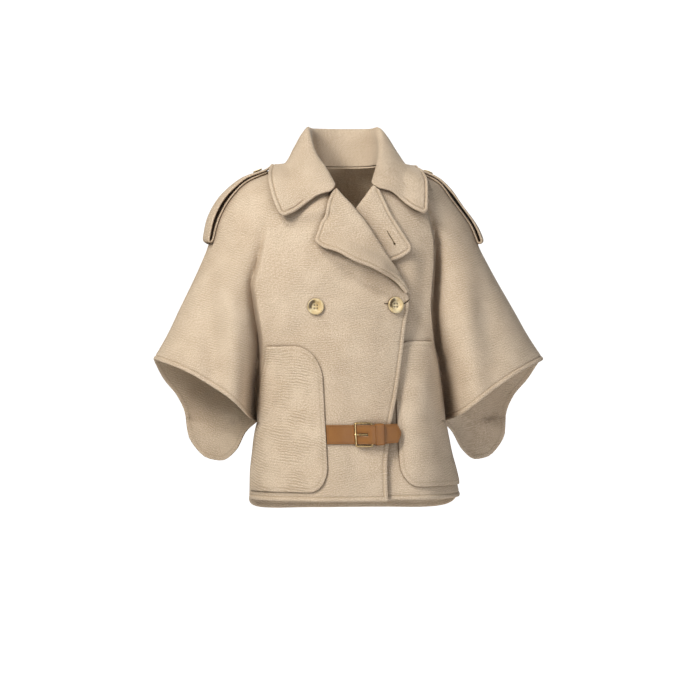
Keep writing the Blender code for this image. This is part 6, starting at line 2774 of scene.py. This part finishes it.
@dataclass
class Studio:
    """A white room with a pale floor, soft light and a camera level with the coat's middle."""

    distance: float = 5.0
    aim: tuple[float, float] = (0.0107, -0.34225)
    turn: float = 6.5
    frame_height: float = 1.295
    floor_z: float = -1.45
    floor_radius: float = 3.0
    floor_sides: int = 128
    room_radius: float = 9.0
    room_rings: int = 25
    room_sides: int = 48
    ambient: float = 0.07
    lit_height: float = -0.32

    def camera(self) -> None:
        """Makes the camera."""
        data = bpy.data.cameras.new("front_camera")
        data.sensor_fit = "AUTO"
        data.angle = 2 * math.atan(self.frame_height / 2 / self.distance)
        camera = hang("front_camera", data)
        turn = math.radians(self.turn)
        across = Vector((math.cos(turn), -math.sin(turn), 0))
        away = Vector((math.sin(turn), math.cos(turn), 0))
        place = across * self.aim[0] - away * self.distance
        camera.location = (place.x, place.y, self.aim[1])
        camera.rotation_euler = (math.pi / 2, 0, -turn)
        bpy.context.scene.camera = camera

    def light(self, lamp: Lamp) -> None:
        """Hangs a lamp so that it faces the coat.

        Args:
            lamp: the lamp.
        """
        data = bpy.data.lights.new(lamp.name, "AREA")
        data.shape, data.size, data.energy = "SQUARE", lamp.size, lamp.watts
        data.color = linear(lamp.colour)[:3]
        hung = hang(lamp.name, data)
        hung.location = lamp.place
        aim = Vector((0.0, 0.0, self.lit_height)) - Vector(lamp.place)
        hung.rotation_euler = aim.to_track_quat("-Z", "Y").to_euler()

    def room(self) -> None:
        """Makes the pale floor and the white room that only the camera sees."""
        angle = np.linspace(0, 2 * math.pi, self.floor_sides, endpoint=False)
        ring = [(self.floor_radius * math.cos(a), self.floor_radius * math.sin(a), self.floor_z)
                for a in angle]
        mesh = bpy.data.meshes.new("studio_floor")
        mesh.from_pydata(ring, [], [tuple(range(len(ring)))])
        new_piece(mesh, FloorPaint().build())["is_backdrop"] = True
        tilt = np.linspace(0, math.pi, self.room_rings)
        profile = np.stack([np.sin(tilt), np.cos(tilt)], axis=-1) * self.room_radius
        material, tree, shader = new_material("white_room_paint")
        feed(tree, shader, {"Base Color": linear("#FFFFFF"), "Emission Color": linear("#FFFFFF"),
                            "Emission Strength": 1.0})
        room = new_piece(turned_mesh("studio_room", profile, self.room_sides), material)
        room.visible_diffuse = room.visible_glossy = False
        room.visible_transmission = room.visible_shadow = False
        room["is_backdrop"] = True

    def build(self) -> None:
        """Sets up the whole studio."""
        scene = bpy.context.scene
        scene.view_settings.view_transform = "Standard"
        world = bpy.data.worlds.new("soft_room_light")
        world.use_nodes = True
        back = world.node_tree.nodes["Background"]
        back.inputs["Color"].default_value = linear("#FFFFFF")
        back.inputs["Strength"].default_value = self.ambient
        scene.world = world
        self.camera()
        self.room()
        for lamp in LAMPS:
            self.light(lamp)


def main() -> None:
    """Makes the coat's pieces in order, then the studio round it."""
    logging.basicConfig(level=logging.INFO, format="%(message)s")
    form = CapeForm()
    dress = Dress(
        wool=BrushedWool().build(),
        waved_wool=BrushedWool(name="waved_double_faced_wool", ripple_height_mm=0.40,
                               ripple_pitch_mm=5.0, ripple_tint=0.55).build(),
        thread=Thread().build(),
        slit=SlitShade().build(),
        leather=TanLeather().build(),
        leather_thread=Thread(name="waxed_linen_thread", colour="#A97B48", dark="#8A6032").build(),
        horn=Horn().build(),
        brass=Brass().build(),
    )
    fronts = CapePanels(form).build(dress)
    lapels = Lapels(form).build(dress)
    Collar(form).build(dress)
    PatchPockets(form).build(dress)
    tabs = ShoulderTabs(form)
    tabs.build(dress)
    HornButtons(form).build(tabs, dress)
    Buttonhole(form, width=2.6).build("closing_buttonhole", fronts[Side.RIGHT], CLOSING_HOLE, dress)
    Buttonhole(form, width=0.9, eyelet=1.5).build("lapel_buttonhole", lapels[Side.LEFT], LAPEL_HOLE, dress)
    WaistStrap(form).build(dress)
    Studio().build()
    {"cad": plain(CAD_BOX), "visual": plain(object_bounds())}


def plain(box: Sequence) -> list:
    """Turns a box's corners into plain lists of numbers."""
    return [[float(value) for value in corner] for corner in box]


if __name__ == "__main__":
    main()
